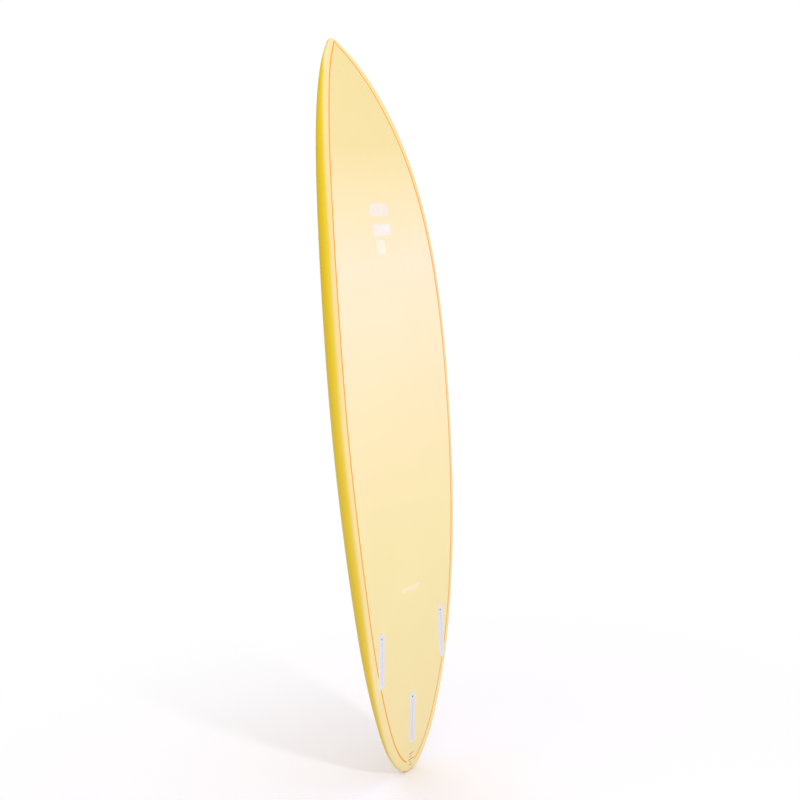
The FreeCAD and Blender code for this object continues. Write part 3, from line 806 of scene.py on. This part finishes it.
def leash_cup(rod_place):
    profile = [(0, -18), (12.4, -18), (13, -17.4), (13, -2.2), (15.3, -2.2), (PLUG_RADIUS, -2.0)]
    profile += arc(14.7, -0.8, 0.8, 0, 90, 6)
    profile += [(13.2, 0.0), (13.0, -0.12), (12.6, -0.12), (12.4, 0.0)]
    profile += arc(10.6, -0.6, 0.6, 90, 180, 5)
    profile += [(10, -3), (10, -8)]
    profile += arc(7, -12.5, 3.0, 0, -90, 7)
    profile += [(3.5, -15.5), (0, -15.5)]
    cup = turned("leash_cup_moulding", profile, PLUG)
    tool = round_cutter([(2.01, -12.05), (2.01, 12.05)], rod_place, n=32, along_x=True)
    weld(tool)
    carve(tool, cup)
    tidy_cut(cup)
    smooth_by_angle(cup, 30.0)
    return cup


def leash_rod(place):
    profile = [(0, -12), (1.7, -12), (2.0, -11.7)]
    profile += [(2.0, z) for z in np.linspace(-10, 10, 9)]
    profile += [(2.0, 11.7), (1.7, 12), (0, 12)]
    return turned("leash_pin_rod", profile, place, n=32, along_x=True)


def leash_bed_fillet():
    """Resin from the deck's surface to the cup's edge."""
    def circle(radius, z):
        return put(ring(radius, z, 96), PLUG)

    inner_z = -0.3
    outer = circle(PLUG_RADIUS + BED, 0.0)
    outer[:, 1] = upper_y(outer[:, 0], outer[:, 2]) - 0.015
    middle = circle(16.1, 0.0)
    inner_y = put([(0, 0, inner_z)], PLUG)[0, 1]
    middle[:, 1] = (upper_y(middle[:, 0], middle[:, 2]) + inner_y) / 2 - 0.05
    points, faces = tube([
        outer, middle, circle(15.52, inner_z), circle(15.52, -2.1),
        circle(PLUG_RADIUS + BED, -3.3),
    ], closed=True)
    return solid("leash_bed_fillet", points, faces, crease=35.0)


rod_place = place_of(put([[0, 0, -PIN_DEPTH]], PLUG)[0], PLUG[1][:, 2], PLUG[1][:, 1])
cup = leash_cup(rod_place)
leash_pin = leash_rod(rod_place)
leash_bed = leash_bed_fillet()


# ------------------------------------------------------------------ flush decals
def decal(name, patches, lift=0.045, feather=0.9):
    """Thin film on the bottom, its edge sinking into the skin over the feather width.

    Each patch is (centre x, centre z, width, height, corner radius, turn in degrees).
    """
    parts = []
    for centre_x, centre_z, width, height, radius, turn in patches:
        columns = max(8, min(24, int(width / 1.5)))
        across = np.linspace(-1, 1, columns + 1)
        across = np.sign(across) * (1 - (1 - np.abs(across)) ** 1.6)
        half = half_loop(height, width, radius, corner=7, side=max(4, int(height / 2.5)))
        flat = np.array([
            np.stack([x * across, np.full(columns + 1, y)], 1) for x, y in half])
        half_x, half_y = width / 2, height / 2
        corner = min(radius, half_x - 0.01, half_y - 0.01)
        over_x = np.abs(flat[..., 0]) - (half_x - corner)
        over_y = np.abs(flat[..., 1]) - (half_y - corner)
        to_edge = (corner - np.hypot(np.clip(over_x, 0, None), np.clip(over_y, 0, None))
                   - np.minimum(np.maximum(over_x, over_y), 0))
        cos, sin = math.cos(math.radians(turn)), math.sin(math.radians(turn))
        x = centre_x + flat[..., 0] * cos + flat[..., 1] * sin
        z = centre_z - flat[..., 0] * sin + flat[..., 1] * cos
        raised = lift * np.clip(to_edge / feather, 0, 1) ** 0.5 - 0.012
        parts.append((np.stack([x, lower_y(x, z) - raised, z], -1), False))
    ob = sheet(name, parts, merge=1e-6)
    solidify(ob, 0.12)
    tidy_cut(ob)
    hull_shading(ob)
    return ob


lozenge = decal("nose_emblem_lozenge_print", [(1.5, 1418, 72, 31, 15.4, 0)])
bar = decal("nose_emblem_bar_print", [(2, 1370, 68, 28, 5, 0)])
tab = decal("nose_emblem_tab_print", [(-10, 1329, 34, 34, 4, 0)])
fin_mark = decal("fin_mark_print", [(2, 487, 76, 13, 4, 0)])
dashes = decal("tail_dashes_ink", [
    (0.5, 48.0, 18.0, 1.8, 0.8, -6.0),
    (-2.5, 40.2, 11.0, 1.6, 0.7, -6.0),
    (0.0, 32.4, 22.0, 2.0, 0.9, -2.0),
    (-3.4, 25.4, 7.0, 1.4, 0.6, -6.0),
    (-2.0, 17.6, 13.0, 1.6, 0.7, -4.0),
], lift=0.05, feather=0.25)


# ------------------------------------------------------------------ material helper
def linear(rgb):
    """Linear RGBA from sRGB in 0 to 255."""
    out = []
    for c in rgb:
        c = c / 255.0
        out.append(c / 12.92 if c <= 0.04045 else ((c + 0.055) / 1.055) ** 2.4)
    return (*out, 1.0)


class Mat:
    """A node material around one Principled shader. Colours are given as sRGB, 0 to 255."""

    def __init__(self, name, **inputs):
        self.material = bpy.data.materials.new(name)
        self.material.use_nodes = True
        self.tree = self.material.node_tree
        self.tree.nodes.clear()
        self.output = self.node("OutputMaterial")
        self.shader = self.node("BsdfPrincipled")
        self.tree.links.new(self.shader.outputs["BSDF"], self.output.inputs["Surface"])
        self.coord = self.node("TexCoord").outputs["Object"]
        self.normal = None
        self.set(**inputs)

    def node(self, kind):
        return self.tree.nodes.new("ShaderNode" + kind)

    def give(self, socket, value):
        if isinstance(value, bpy.types.NodeSocket):
            self.tree.links.new(value, socket)
        else:
            socket.default_value = value

    def set(self, **inputs):
        for name, value in inputs.items():
            self.give(self.shader.inputs[name.replace("_", " ")], value)

    def mapped(self, stretch=(1, 1, 1), shift=(0, 0, 0)):
        n = self.node("Mapping")
        self.give(n.inputs["Vector"], self.coord)
        n.inputs["Scale"].default_value = stretch
        n.inputs["Location"].default_value = shift
        return n.outputs["Vector"]

    def noise(self, scale, detail=2.0, rough=0.5, stretch=(1, 1, 1), shift=(0, 0, 0)):
        n = self.node("TexNoise")
        self.give(n.inputs["Vector"], self.mapped(stretch, shift))
        n.inputs["Scale"].default_value = scale
        n.inputs["Detail"].default_value = detail
        n.inputs["Roughness"].default_value = rough
        return n.outputs["Fac"]

    def voronoi(self, scale):
        n = self.node("TexVoronoi")
        self.give(n.inputs["Vector"], self.mapped())
        n.inputs["Scale"].default_value = scale
        return n.outputs["Distance"]

    def threads(self, direction, pitch=0.0011):
        """Slightly wavering bands, the pitch in metres."""
        n = self.node("TexWave")
        n.bands_direction = direction
        n.wave_profile = "SIN"
        self.give(n.inputs["Vector"], self.mapped())
        n.inputs["Scale"].default_value = 2 * math.pi / 20.0 / pitch
        n.inputs["Distortion"].default_value = 0.6
        n.inputs["Detail"].default_value = 1.0
        n.inputs["Detail Scale"].default_value = 1.5
        return n.outputs["Fac"]

    def math(self, operation, *values):
        n = self.node("Math")
        n.operation = operation
        for socket, value in zip(n.inputs, values):
            self.give(socket, value)
        return n.outputs[0]

    def fit(self, value, between, to=(0.0, 1.0), smooth=False):
        """Maps one range onto another, clamped."""
        n = self.node("MapRange")
        n.interpolation_type = "SMOOTHSTEP" if smooth else "LINEAR"
        self.give(n.inputs["Value"], value)
        for name, x in zip(("From Min", "From Max", "To Min", "To Max"), (*between, *to)):
            n.inputs[name].default_value = x
        return n.outputs["Result"]

    def mix(self, amount, a, b, blend="MIX"):
        n = self.node("Mix")
        n.data_type = "RGBA"
        n.blend_type = blend
        n.clamp_factor = True
        self.give(n.inputs[0], amount)
        for socket, colour in ((n.inputs[6], a), (n.inputs[7], b)):
            is_socket = isinstance(colour, bpy.types.NodeSocket)
            self.give(socket, colour if is_socket else linear(colour))
        return n.outputs[2]

    def tint(self, colour, rgb, mask, between, amount, blend="MULTIPLY"):
        """Lays a colour over another, by an amount that follows the mask."""
        return self.mix(self.fit(mask, between, amount), colour, rgb, blend)

    def ramp(self, place, stops):
        n = self.node("ValToRGB")
        self.give(n.inputs["Fac"], place)
        elements = n.color_ramp.elements
        elements.remove(elements[-1])
        stops = [(position, linear(rgb)) for position, rgb in stops]
        elements[0].position, elements[0].color = stops[0]
        for position, colour in stops[1:]:
            elements.new(position).color = colour
        return n.outputs["Color"]

    def attribute(self, name):
        n = self.node("Attribute")
        n.attribute_name = name
        return n.outputs["Fac"]

    def axis(self, index):
        n = self.node("SeparateXYZ")
        self.give(n.inputs[0], self.coord)
        return n.outputs[index]

    def facing(self):
        n = self.node("LayerWeight")
        n.inputs["Blend"].default_value = 0.5
        return n.outputs["Facing"]

    def bump(self, height, strength, distance):
        """Adds a bump on top of the earlier ones."""
        n = self.node("Bump")
        n.inputs["Strength"].default_value = strength
        n.inputs["Distance"].default_value = distance
        self.give(n.inputs["Height"], height)
        if self.normal is not None:
            self.give(n.inputs["Normal"], self.normal)
        self.normal = n.outputs["Normal"]
        self.set(Normal=self.normal)


# ------------------------------------------------------------------ resin materials
# Bottom colour up the board: (share of the height, sRGB). The paler band from about 0.5 to 0.75 of
# the height is a painted sheen: a soft light's reflection in the gloss.
BOTTOM_AND_SHEEN_STOPS = [
    (0.00, (235, 216, 153)), (0.13, (234, 216, 154)), (0.33, (236, 220, 159)),
    (0.52, (243, 222, 177)), (0.70, (247, 226, 197)), (0.80, (239, 219, 172)),
    (0.86, (231, 212, 151)), (1.00, (228, 208, 145)),
]
# Rail colours from the deck side round to the flat bottom, for the nose half and the tail half. The
# deeper mustard round the rail is partly the resin's real tint and partly painted shade where the
# rail turns away from the light.
RAIL_SPOTS = (0.00, 0.25, 0.475, 0.531, 0.6, 0.66, 0.72, 1.0)
RAIL_NOSE = [
    (214, 182, 20), (222, 189, 8), (225, 193, 18), (223, 195, 60),
    (229, 204, 118), (234, 210, 144), (235, 211, 150), (236, 213, 152),
]
RAIL_TAIL = [
    (212, 182, 46), (219, 188, 40), (223, 192, 56), (224, 197, 82),
    (230, 206, 128), (235, 214, 151), (235, 217, 157), (235, 218, 158),
]
# Deck colour from the middle out to the rail
DECK_STOPS = [
    (0.00, (232, 206, 104)), (0.45, (230, 202, 92)), (0.80, (222, 192, 72)), (1.0, RAIL_NOSE[0]),
]
DECK_COAT, RAIL_COAT = 0.55, 0.16


def resin_surface(m, colour, weave_depth, coat=0.55, orange_peel=0.12):
    """Polished resin over cloth: clouds, fibres, weave, specks, orange peel and rub marks."""
    cloud = m.noise(scale=3.2, detail=3.0, rough=0.55, stretch=(1.6, 1.6, 0.8))
    colour = m.tint(colour, (214, 176, 110), cloud, between=(0.3, 0.7), amount=(0.0, 0.035))
    fibre = m.noise(scale=16.0, detail=4.0, rough=0.65, stretch=(9.0, 9.0, 0.6))
    colour = m.tint(colour, (214, 180, 124), fibre, between=(0.4, 0.78), amount=(0.0, 0.02))
    pale = m.noise(scale=11.0, detail=5.0, rough=0.7, stretch=(7.0, 7.0, 0.9),
                   shift=(3.1, 0.7, 5.3))
    colour = m.tint(colour, (255, 248, 226), pale, between=(0.56, 0.8), amount=(0.0, 0.04),
                    blend="MIX")
    weave = m.math("MULTIPLY", m.threads("X"), m.threads("Z"))
    colour = m.tint(colour, (176, 132, 70), weave, between=(0.0, 0.8), amount=(weave_depth, 0.0))
    speck = m.voronoi(scale=150.0)
    colour = m.tint(colour, (190, 150, 90), speck, between=(0.025, 0.05), amount=(0.05, 0.0))
    rub = m.noise(scale=60.0, detail=3.0, rough=0.6, stretch=(1.0, 1.0, 0.12),
                  shift=(1.7, 4.1, 0.3))
    m.set(
        Base_Color=colour,
        Roughness=m.fit(rub, between=(0.35, 0.75), to=(0.30, 0.36)),
        Coat_Weight=coat,
        Coat_Roughness=m.fit(rub, between=(0.45, 0.8), to=(0.08, 0.11)),
        Coat_IOR=1.45,
    )
    m.bump(weave, strength=0.10, distance=0.00004)
    m.bump(m.noise(scale=420.0), strength=orange_peel, distance=0.00006)
    m.bump(m.noise(scale=9.0, stretch=(1.0, 1.0, 0.35)), strength=0.25, distance=0.0012)
    return m.material


def bottom_resin():
    m = Mat("bottom_resin", IOR=1.5)
    # The ramp up the board carries the painted sheen across the middle of the bottom
    colour = m.ramp(m.fit(m.axis(2), between=(0.0, 1.83)), BOTTOM_AND_SHEEN_STOPS)
    return resin_surface(m, colour, weave_depth=0.02)


def rail_and_deck_resin():
    """Mustard tint on deck and rail, pale where it thins out on the lap and at the tips. The deeper
    mustard round the rail's curve is partly the tint and partly painted shade.
    """
    m = Mat("rail_and_deck_resin", IOR=1.5, Specular_IOR_Level=0.3)
    drift = m.noise(scale=7.0, detail=3.0, rough=0.6, stretch=(1.0, 1.0, 0.5))
    rail = m.math("ADD", m.attribute("rail"), m.fit(drift, between=(0.25, 0.75), to=(-0.05, 0.05)))
    z = m.axis(2)
    tips = m.math(
        "ADD",
        m.fit(z, between=(0.0, 0.46), to=(0.44, 0.0), smooth=True),
        m.fit(z, between=(1.735, 1.82), to=(0.0, 0.8), smooth=True))
    place = m.fit(m.math("ADD", rail, tips), between=(-0.4, 1.2))
    # The rail ramps hold painted shade as well as the tint: darker round the rail's curve
    under = m.mix(m.fit(z, between=(0.35, 1.35)),
                  m.ramp(place, zip(RAIL_SPOTS, RAIL_TAIL)),
                  m.ramp(place, zip(RAIL_SPOTS, RAIL_NOSE)))
    over = m.ramp(m.fit(rail, between=(-6.0, -0.4)), DECK_STOPS)
    colour = m.mix(m.fit(rail, between=(-0.42, -0.38)), over, under)
    # Painted shade: the colour darkens where the surface turns away towards the silhouette
    edge = m.math("POWER", m.facing(), 3.0)
    colour = m.tint(colour, (200, 172, 110), edge, between=(0.25, 0.95), amount=(0.0, 0.25))

    # Stringer and a darker line along each side of it, seen faintly through the deck
    from_centre = m.math("ABSOLUTE", m.axis(0))
    deck_side = m.fit(m.attribute("rail"), between=(-0.8, -0.6), to=(1.0, 0.0))
    stringer = m.fit(from_centre, between=(0.0016, 0.0024), to=(0.34, 0.0))
    colour = m.mix(m.math("MULTIPLY", stringer, deck_side), colour, (150, 112, 52), "MULTIPLY")
    side_line = m.math(
        "MULTIPLY",
        m.fit(from_centre, between=(0.0018, 0.0024)),
        m.fit(from_centre, between=(0.0026, 0.0034), to=(0.22, 0.0)))
    colour = m.mix(m.math("MULTIPLY", side_line, deck_side), colour, (120, 86, 40), "MULTIPLY")
    material = resin_surface(m, colour, weave_depth=0.03, coat=RAIL_COAT)
    # Glossier on the deck than on the rail
    m.set(Coat_Weight=m.fit(m.attribute("rail"), between=(-1.6, -0.7), to=(DECK_COAT, RAIL_COAT)))
    return material


def pinline_resin():
    m = Mat("pinline_resin", IOR=1.5, Specular_IOR_Level=0.3)
    colour = m.mix(m.noise(scale=60.0, detail=3.0, rough=0.6), (240, 152, 8), (234, 144, 4))
    return resin_surface(m, colour, weave_depth=0.0, coat=0.12, orange_peel=0.08)


def laminate(name, a, b):
    m = Mat(name, IOR=1.5)
    colour = m.mix(m.noise(scale=4.0, detail=3.0, rough=0.6), a, b)
    return resin_surface(m, colour, weave_depth=0.12, coat=0.1)


def bed_resin():
    m = Mat("bed_resin", IOR=1.54)
    gloss = m.noise(scale=300.0, rough=0.6)
    m.set(
        Base_Color=m.mix(m.noise(scale=140.0, detail=4.0, rough=0.6),
                         (228, 220, 206), (218, 212, 202)),
        Roughness=m.fit(gloss, between=(0.3, 0.7), to=(0.12, 0.3)),
        Coat_Weight=0.6,
        Subsurface_Weight=0.2,
        Subsurface_Radius=(0.002, 0.0016, 0.001),
    )
    m.bump(m.noise(scale=260.0, detail=3.0), strength=0.2, distance=0.0001)
    m.bump(m.voronoi(scale=900.0), strength=0.06, distance=0.00008)
    return m.material


# ------------------------------------------------------------------ plastic, steel and print
def box_plastic():
    pale = (220, 219, 225)
    m = Mat("box_plastic", IOR=1.47)
    colour = m.mix(m.noise(scale=90.0, detail=4.0, rough=0.6), pale, (215, 215, 221))
    fibre = m.noise(scale=900.0, rough=0.6, stretch=(1.0, 1.0, 0.12))
    colour = m.tint(colour, (190, 194, 208), fibre, between=(0.55, 0.75), amount=(0.0, 0.10))
    gloss = m.noise(scale=220.0, detail=3.0, rough=0.6)
    m.set(
        Base_Color=colour,
        # Painted light: a pale glow lights the inside of the slot
        Emission_Color=linear(pale),
        Emission_Strength=m.fit(m.attribute("slot"), between=(0.0, 1.0), to=(0.0, 0.32)),
        Roughness=m.fit(gloss, between=(0.3, 0.7), to=(0.36, 0.55)),
        Subsurface_Weight=0.12,
        Subsurface_Radius=(0.003, 0.003, 0.0032),
    )
    m.bump(m.noise(scale=1500.0, detail=3.0, rough=0.6), strength=0.12, distance=0.00005)
    m.bump(m.noise(scale=500.0, stretch=(1.0, 1.0, 0.08)), strength=0.12, distance=0.00005)
    return m.material


def cup_plastic():
    m = Mat("cup_plastic", IOR=1.47)
    gloss = m.noise(scale=260.0, detail=3.0, rough=0.6)
    m.set(
        Base_Color=m.mix(m.noise(scale=120.0, detail=4.0, rough=0.6),
                         (234, 234, 230), (222, 222, 218)),
        Roughness=m.fit(gloss, between=(0.3, 0.7), to=(0.3, 0.5)),
        Subsurface_Weight=0.1,
        Subsurface_Radius=(0.003, 0.003, 0.003),
    )
    m.bump(m.noise(scale=1400.0, detail=3.0, rough=0.6), strength=0.12, distance=0.00005)
    return m.material


def steel(name, grey, rough, stretch=(1, 1, 1)):
    """Mottled, faintly stained steel, its grain drawn out by the stretch."""
    m = Mat(name, Metallic=1.0)
    grain = m.noise(scale=1200.0, detail=4.0, rough=0.6, stretch=stretch)
    colour = m.mix(grain, grey, [c * 0.72 for c in grey])
    stain = m.noise(scale=300.0, detail=3.0, rough=0.6)
    colour = m.tint(colour, (96, 78, 62), stain, between=(0.55, 0.8), amount=(0.0, 0.35),
                    blend="MIX")
    gloss = m.noise(scale=900.0, detail=3.0, rough=0.6, stretch=stretch)
    m.set(Base_Color=colour,
          Roughness=m.fit(gloss, between=(0.3, 0.7), to=(rough, rough + 0.18)))
    m.bump(m.noise(scale=2200.0, detail=3.0, rough=0.6, stretch=stretch),
           strength=0.18, distance=0.00003)
    return m.material


def print_film(name, a, b, fibre_depth=0.10):
    """Ink under gloss: mottled, with paper fibres and pinholes in it."""
    m = Mat(name, IOR=1.5)
    mottle = m.noise(scale=70.0, detail=4.0, rough=0.65)
    colour = m.mix(m.fit(mottle, between=(0.35, 0.7)), a, b)
    fibres = m.noise(scale=500.0, detail=4.0, rough=0.7, stretch=(1.0, 1.0, 0.3))
    colour = m.tint(colour, (236, 214, 170), fibres, between=(0.55, 0.8),
                    amount=(0.0, fibre_depth))
    holes = m.voronoi(scale=420.0)
    colour = m.tint(colour, (250, 230, 182), holes, between=(0.05, 0.09), amount=(0.35, 0.0),
                    blend="MIX")
    gloss = m.noise(scale=180.0, detail=3.0, rough=0.6)
    m.set(
        Base_Color=colour,
        Roughness=m.fit(gloss, between=(0.3, 0.7), to=(0.28, 0.42)),
        Coat_Weight=0.55,
        Coat_Roughness=0.07,
    )
    m.bump(m.noise(scale=420.0), strength=0.12, distance=0.00006)
    return m.material


# ------------------------------------------------------------------ hidden layers
def shaped_foam():
    m = Mat("shaped_foam", IOR=1.4)
    cells = m.voronoi(scale=2600.0)
    colour = m.mix(m.fit(cells, between=(0.1, 0.6)), (226, 220, 204), (244, 240, 228))
    cloud = m.noise(scale=5.0, detail=3.0, rough=0.6)
    colour = m.tint(colour, (240, 228, 196), cloud, between=(0.3, 0.7), amount=(0.0, 0.2),
                    blend="MIX")
    m.set(Base_Color=colour, Roughness=0.9)
    m.bump(cells, strength=0.3, distance=0.0001)
    return m.material


def stringer_wood():
    m = Mat("stringer_wood", IOR=1.45)
    grain = m.noise(scale=9.0, detail=6.0, rough=0.7, stretch=(22.0, 22.0, 0.45))
    colour = m.ramp(m.fit(grain, between=(0.25, 0.75)), [
        (0.0, (150, 106, 60)), (0.45, (186, 142, 90)), (0.6, (170, 124, 74)),
        (1.0, (206, 166, 112)),
    ])
    pores = m.noise(scale=900.0, detail=3.0, rough=0.6, stretch=(1.0, 1.0, 0.04))
    colour = m.tint(colour, (112, 76, 42), pores, between=(0.58, 0.7), amount=(0.0, 0.5),
                    blend="MIX")
    m.set(Base_Color=colour, Roughness=m.fit(pores, between=(0.3, 0.7), to=(0.5, 0.75)))
    m.bump(pores, strength=0.25, distance=0.0001)
    return m.material


wrap_material = (bottom_material, rail_material) = (bottom_resin(), rail_and_deck_resin())
pinline_material = pinline_resin()
box_material = box_plastic()
bed_material = bed_resin()
screw_material = steel("grub_screw_steel", (112, 112, 116), rough=0.3)
rod_material = steel("leash_rod_steel", (196, 196, 200), rough=0.2, stretch=(0.1, 1, 1))
cup_material = cup_plastic()
lozenge_material = print_film("pale_print_upper", (234, 224, 218), (230, 218, 210))
bar_material = print_film("pale_print_lower", (238, 230, 226), (234, 224, 216))
tab_material = print_film("faint_print", (246, 231, 210), (244, 228, 204))
fin_mark_material = print_film("faint_pink_print", (242, 220, 190), (242, 216, 180))
ink_material = print_film("pen_ink", (120, 98, 60), (100, 80, 50), fibre_depth=0.3)
foam_material = shaped_foam()
hidden_materials = {
    "foam_core_port": foam_material,
    "foam_core_starboard": foam_material,
    "stringer": stringer_wood(),
    "bottom_laminate": laminate("inner_laminate", (246, 232, 186), (240, 220, 164)),
    "deck_patch": laminate("deck_patch_laminate", (232, 206, 104), (226, 196, 84)),
}


# ------------------------------------------------------------------ pieces onto bodies
def set_material(ob, material):
    ob.data.materials.clear()
    ob.data.materials.append(material)


def finish(ob, material, node, body="board"):
    set_material(ob, material)
    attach(ob, body)
    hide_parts(node)


finish(wrap, rail_material, "deck_laminate")
finish(bottom, bottom_material, "bottom_filler_coat")
finish(pinline, pinline_material, "pinline")
for name in BOXES:
    screw = "fin_screw_" + name
    finish(fin_boxes[name], box_material, "fin_box_" + name)
    finish(fin_beds[name], bed_material, "fin_bed_" + name)
    finish(fin_screws[name], screw_material, screw, body=screw)
finish(cup, cup_material, "leash_cup")
finish(leash_pin, rod_material, "leash_pin")
finish(leash_bed, bed_material, "leash_bed")
finish(lozenge, lozenge_material, "nose_emblem_lozenge")
finish(bar, bar_material, "nose_emblem_bar")
finish(tab, tab_material, "nose_emblem_tab")
finish(fin_mark, fin_mark_material, "fin_mark")
finish(dashes, ink_material, "tail_dashes")
for node, material in hidden_materials.items():
    set_material(frame["nodes"][node], material)

# ------------------------------------------------------------------ floor
# Blender's start-up objects, where the scene still holds them
for ob in list(bpy.data.objects):
    if ob.name in ("Cube", "Light", "Camera"):
        bpy.data.objects.remove(ob)


def pale_floor():
    """Pale floor that fades into glowing white away from the board."""
    m = Mat("pale_floor", Roughness=0.6)
    m.set(Base_Color=m.mix(m.noise(scale=2.5, detail=3.0), (251, 249, 255), (249, 246, 253)))
    m.bump(m.noise(scale=160.0, detail=3.0), strength=0.05, distance=0.0003)
    glow = m.node("Emission")
    glow.inputs["Color"].default_value = (1, 1, 1, 1)
    distance = m.node("VectorMath")
    distance.operation = "LENGTH"
    m.give(distance.inputs[0], m.coord)
    fade = m.node("MixShader")
    m.give(fade.inputs[0], m.fit(distance.outputs["Value"], between=(0.15, 1.5), smooth=True))
    m.give(fade.inputs[1], m.shader.outputs[0])
    m.give(fade.inputs[2], glow.outputs[0])
    m.give(m.output.inputs["Surface"], fade.outputs[0])
    return m.material


def studio_floor():
    """Disc of rings, in metres."""
    radii = [0.12, 0.3, 0.6, 1.0, 1.6, 2.5, 4.0, 7.0, 12.0, 22.0, 40.0]
    height, n = -0.0004, 72
    points = [(0.0, 0.0, height)] + [p for radius in radii for p in ring(radius, height, n)]
    faces = []
    for k in range(n):
        j = (k + 1) % n
        faces.append((0, 1 + k, 1 + j))
        for a in range(1, 1 + (len(radii) - 1) * n, n):
            faces.append((a + k, a + n + k, a + n + j, a + j))
    floor = add_mesh("studio_floor", points, faces, smooth=True)
    floor.data.materials.append(pale_floor())


studio_floor()

# ------------------------------------------------------------------ world and lights
# name, place, target, size, power, colour, seen in reflections
LIGHTS = [
    ("key", (-1.6, -5.7, 3.9), (0.0, 0.0, 0.8), 0.5, 110.0, (1.0, 0.99, 0.98), False),
    ("front", (-3.2, -3.0, 2.2), (0.0, 0.0, 0.8), 2.6, 16.0, (1.0, 0.99, 0.975), True),
    ("top", (0.3, -0.6, 4.6), (0.0, 0.0, 0.0), 3.0, 30.0, (1.0, 0.985, 0.98), True),
    ("back", (1.8, 3.0, 2.2), (0.0, 0.0, 0.9), 2.4, 22.0, (1.0, 0.99, 0.985), True),
]
# (colour, strength) of the world as the camera sees it, and as it lights the board
WORLD_SEEN = (1, 1, 1, 1), 1.02
WORLD_LIGHT = (1.0, 0.992, 0.985, 1.0), 0.74


def studio_world():
    world = bpy.data.worlds.new("studio")
    bpy.context.scene.world = world
    world.use_nodes = True
    nodes, links = world.node_tree.nodes, world.node_tree.links
    nodes.clear()
    output = nodes.new("ShaderNodeOutputWorld")
    backgrounds = []
    for colour, strength in (WORLD_SEEN, WORLD_LIGHT):
        background = nodes.new("ShaderNodeBackground")
        background.inputs["Color"].default_value = colour
        background.inputs["Strength"].default_value = strength
        backgrounds.append(background)
    seen, light = backgrounds
    path = nodes.new("ShaderNodeLightPath")
    mixer = nodes.new("ShaderNodeMixShader")
    links.new(path.outputs["Is Camera Ray"], mixer.inputs[0])
    links.new(light.outputs[0], mixer.inputs[1])
    links.new(seen.outputs[0], mixer.inputs[2])
    links.new(mixer.outputs[0], output.inputs["Surface"])


def area_light(name, place, target, size, power, colour, mirrored):
    data = bpy.data.lights.new(name, "AREA")
    data.energy = power
    data.color = colour
    data.size = size
    ob = bpy.data.objects.new(name, data)
    bpy.context.scene.collection.objects.link(ob)
    ob.location = place
    ob.visible_glossy = mirrored
    ob.rotation_mode = "QUATERNION"
    ob.rotation_quaternion = (Vector(target) - Vector(place)).to_track_quat("-Z", "Y")


studio_world()
for light in LIGHTS:
    area_light(*light)

# ------------------------------------------------------------------ camera
CAMERA_YAW, CAMERA_PITCH, CAMERA_ROLL = -0.9325781, -0.1455407, -0.0747173  # radians
# Camera from the board's middle, in millimetres: to its right, up, and back
CAMERA_RIGHT, CAMERA_UP, CAMERA_BACK = -0.5735, 44.124, 3167.01
LENS, SENSOR_WIDTH = 58.6944, 36.0


def add_camera():
    sin_yaw, cos_yaw = math.sin(CAMERA_YAW), math.cos(CAMERA_YAW)
    sin_pitch, cos_pitch = math.sin(CAMERA_PITCH), math.cos(CAMERA_PITCH)
    sin_roll, cos_roll = math.sin(CAMERA_ROLL), math.cos(CAMERA_ROLL)
    forward = np.array([-sin_yaw * cos_pitch, cos_yaw * cos_pitch, sin_pitch])
    level = np.array([cos_yaw, sin_yaw, 0.0])
    upright = np.cross(level, forward)
    right = cos_roll * level + sin_roll * upright
    up = -sin_roll * level + cos_roll * upright
    middle = np.array([0, 0, LENGTH / 2])
    place = to_metres(middle + CAMERA_RIGHT * right + CAMERA_UP * up - CAMERA_BACK * forward)
    data = bpy.data.cameras.new("camera")
    data.sensor_fit = "HORIZONTAL"
    data.sensor_width = SENSOR_WIDTH
    data.lens = LENS
    data.clip_start, data.clip_end = 0.05, 100.0
    camera = bpy.data.objects.new("camera", data)
    bpy.context.scene.collection.objects.link(camera)
    rows = [(right[i], up[i], -forward[i], place[i]) for i in range(3)]
    camera.matrix_world = Matrix(rows + [(0, 0, 0, 1)])
    bpy.context.scene.camera = camera


add_camera()
view = bpy.context.scene.view_settings
view.view_transform = "Standard"
view.look = "None"
view.exposure = 0.0
view.gamma = 1.0
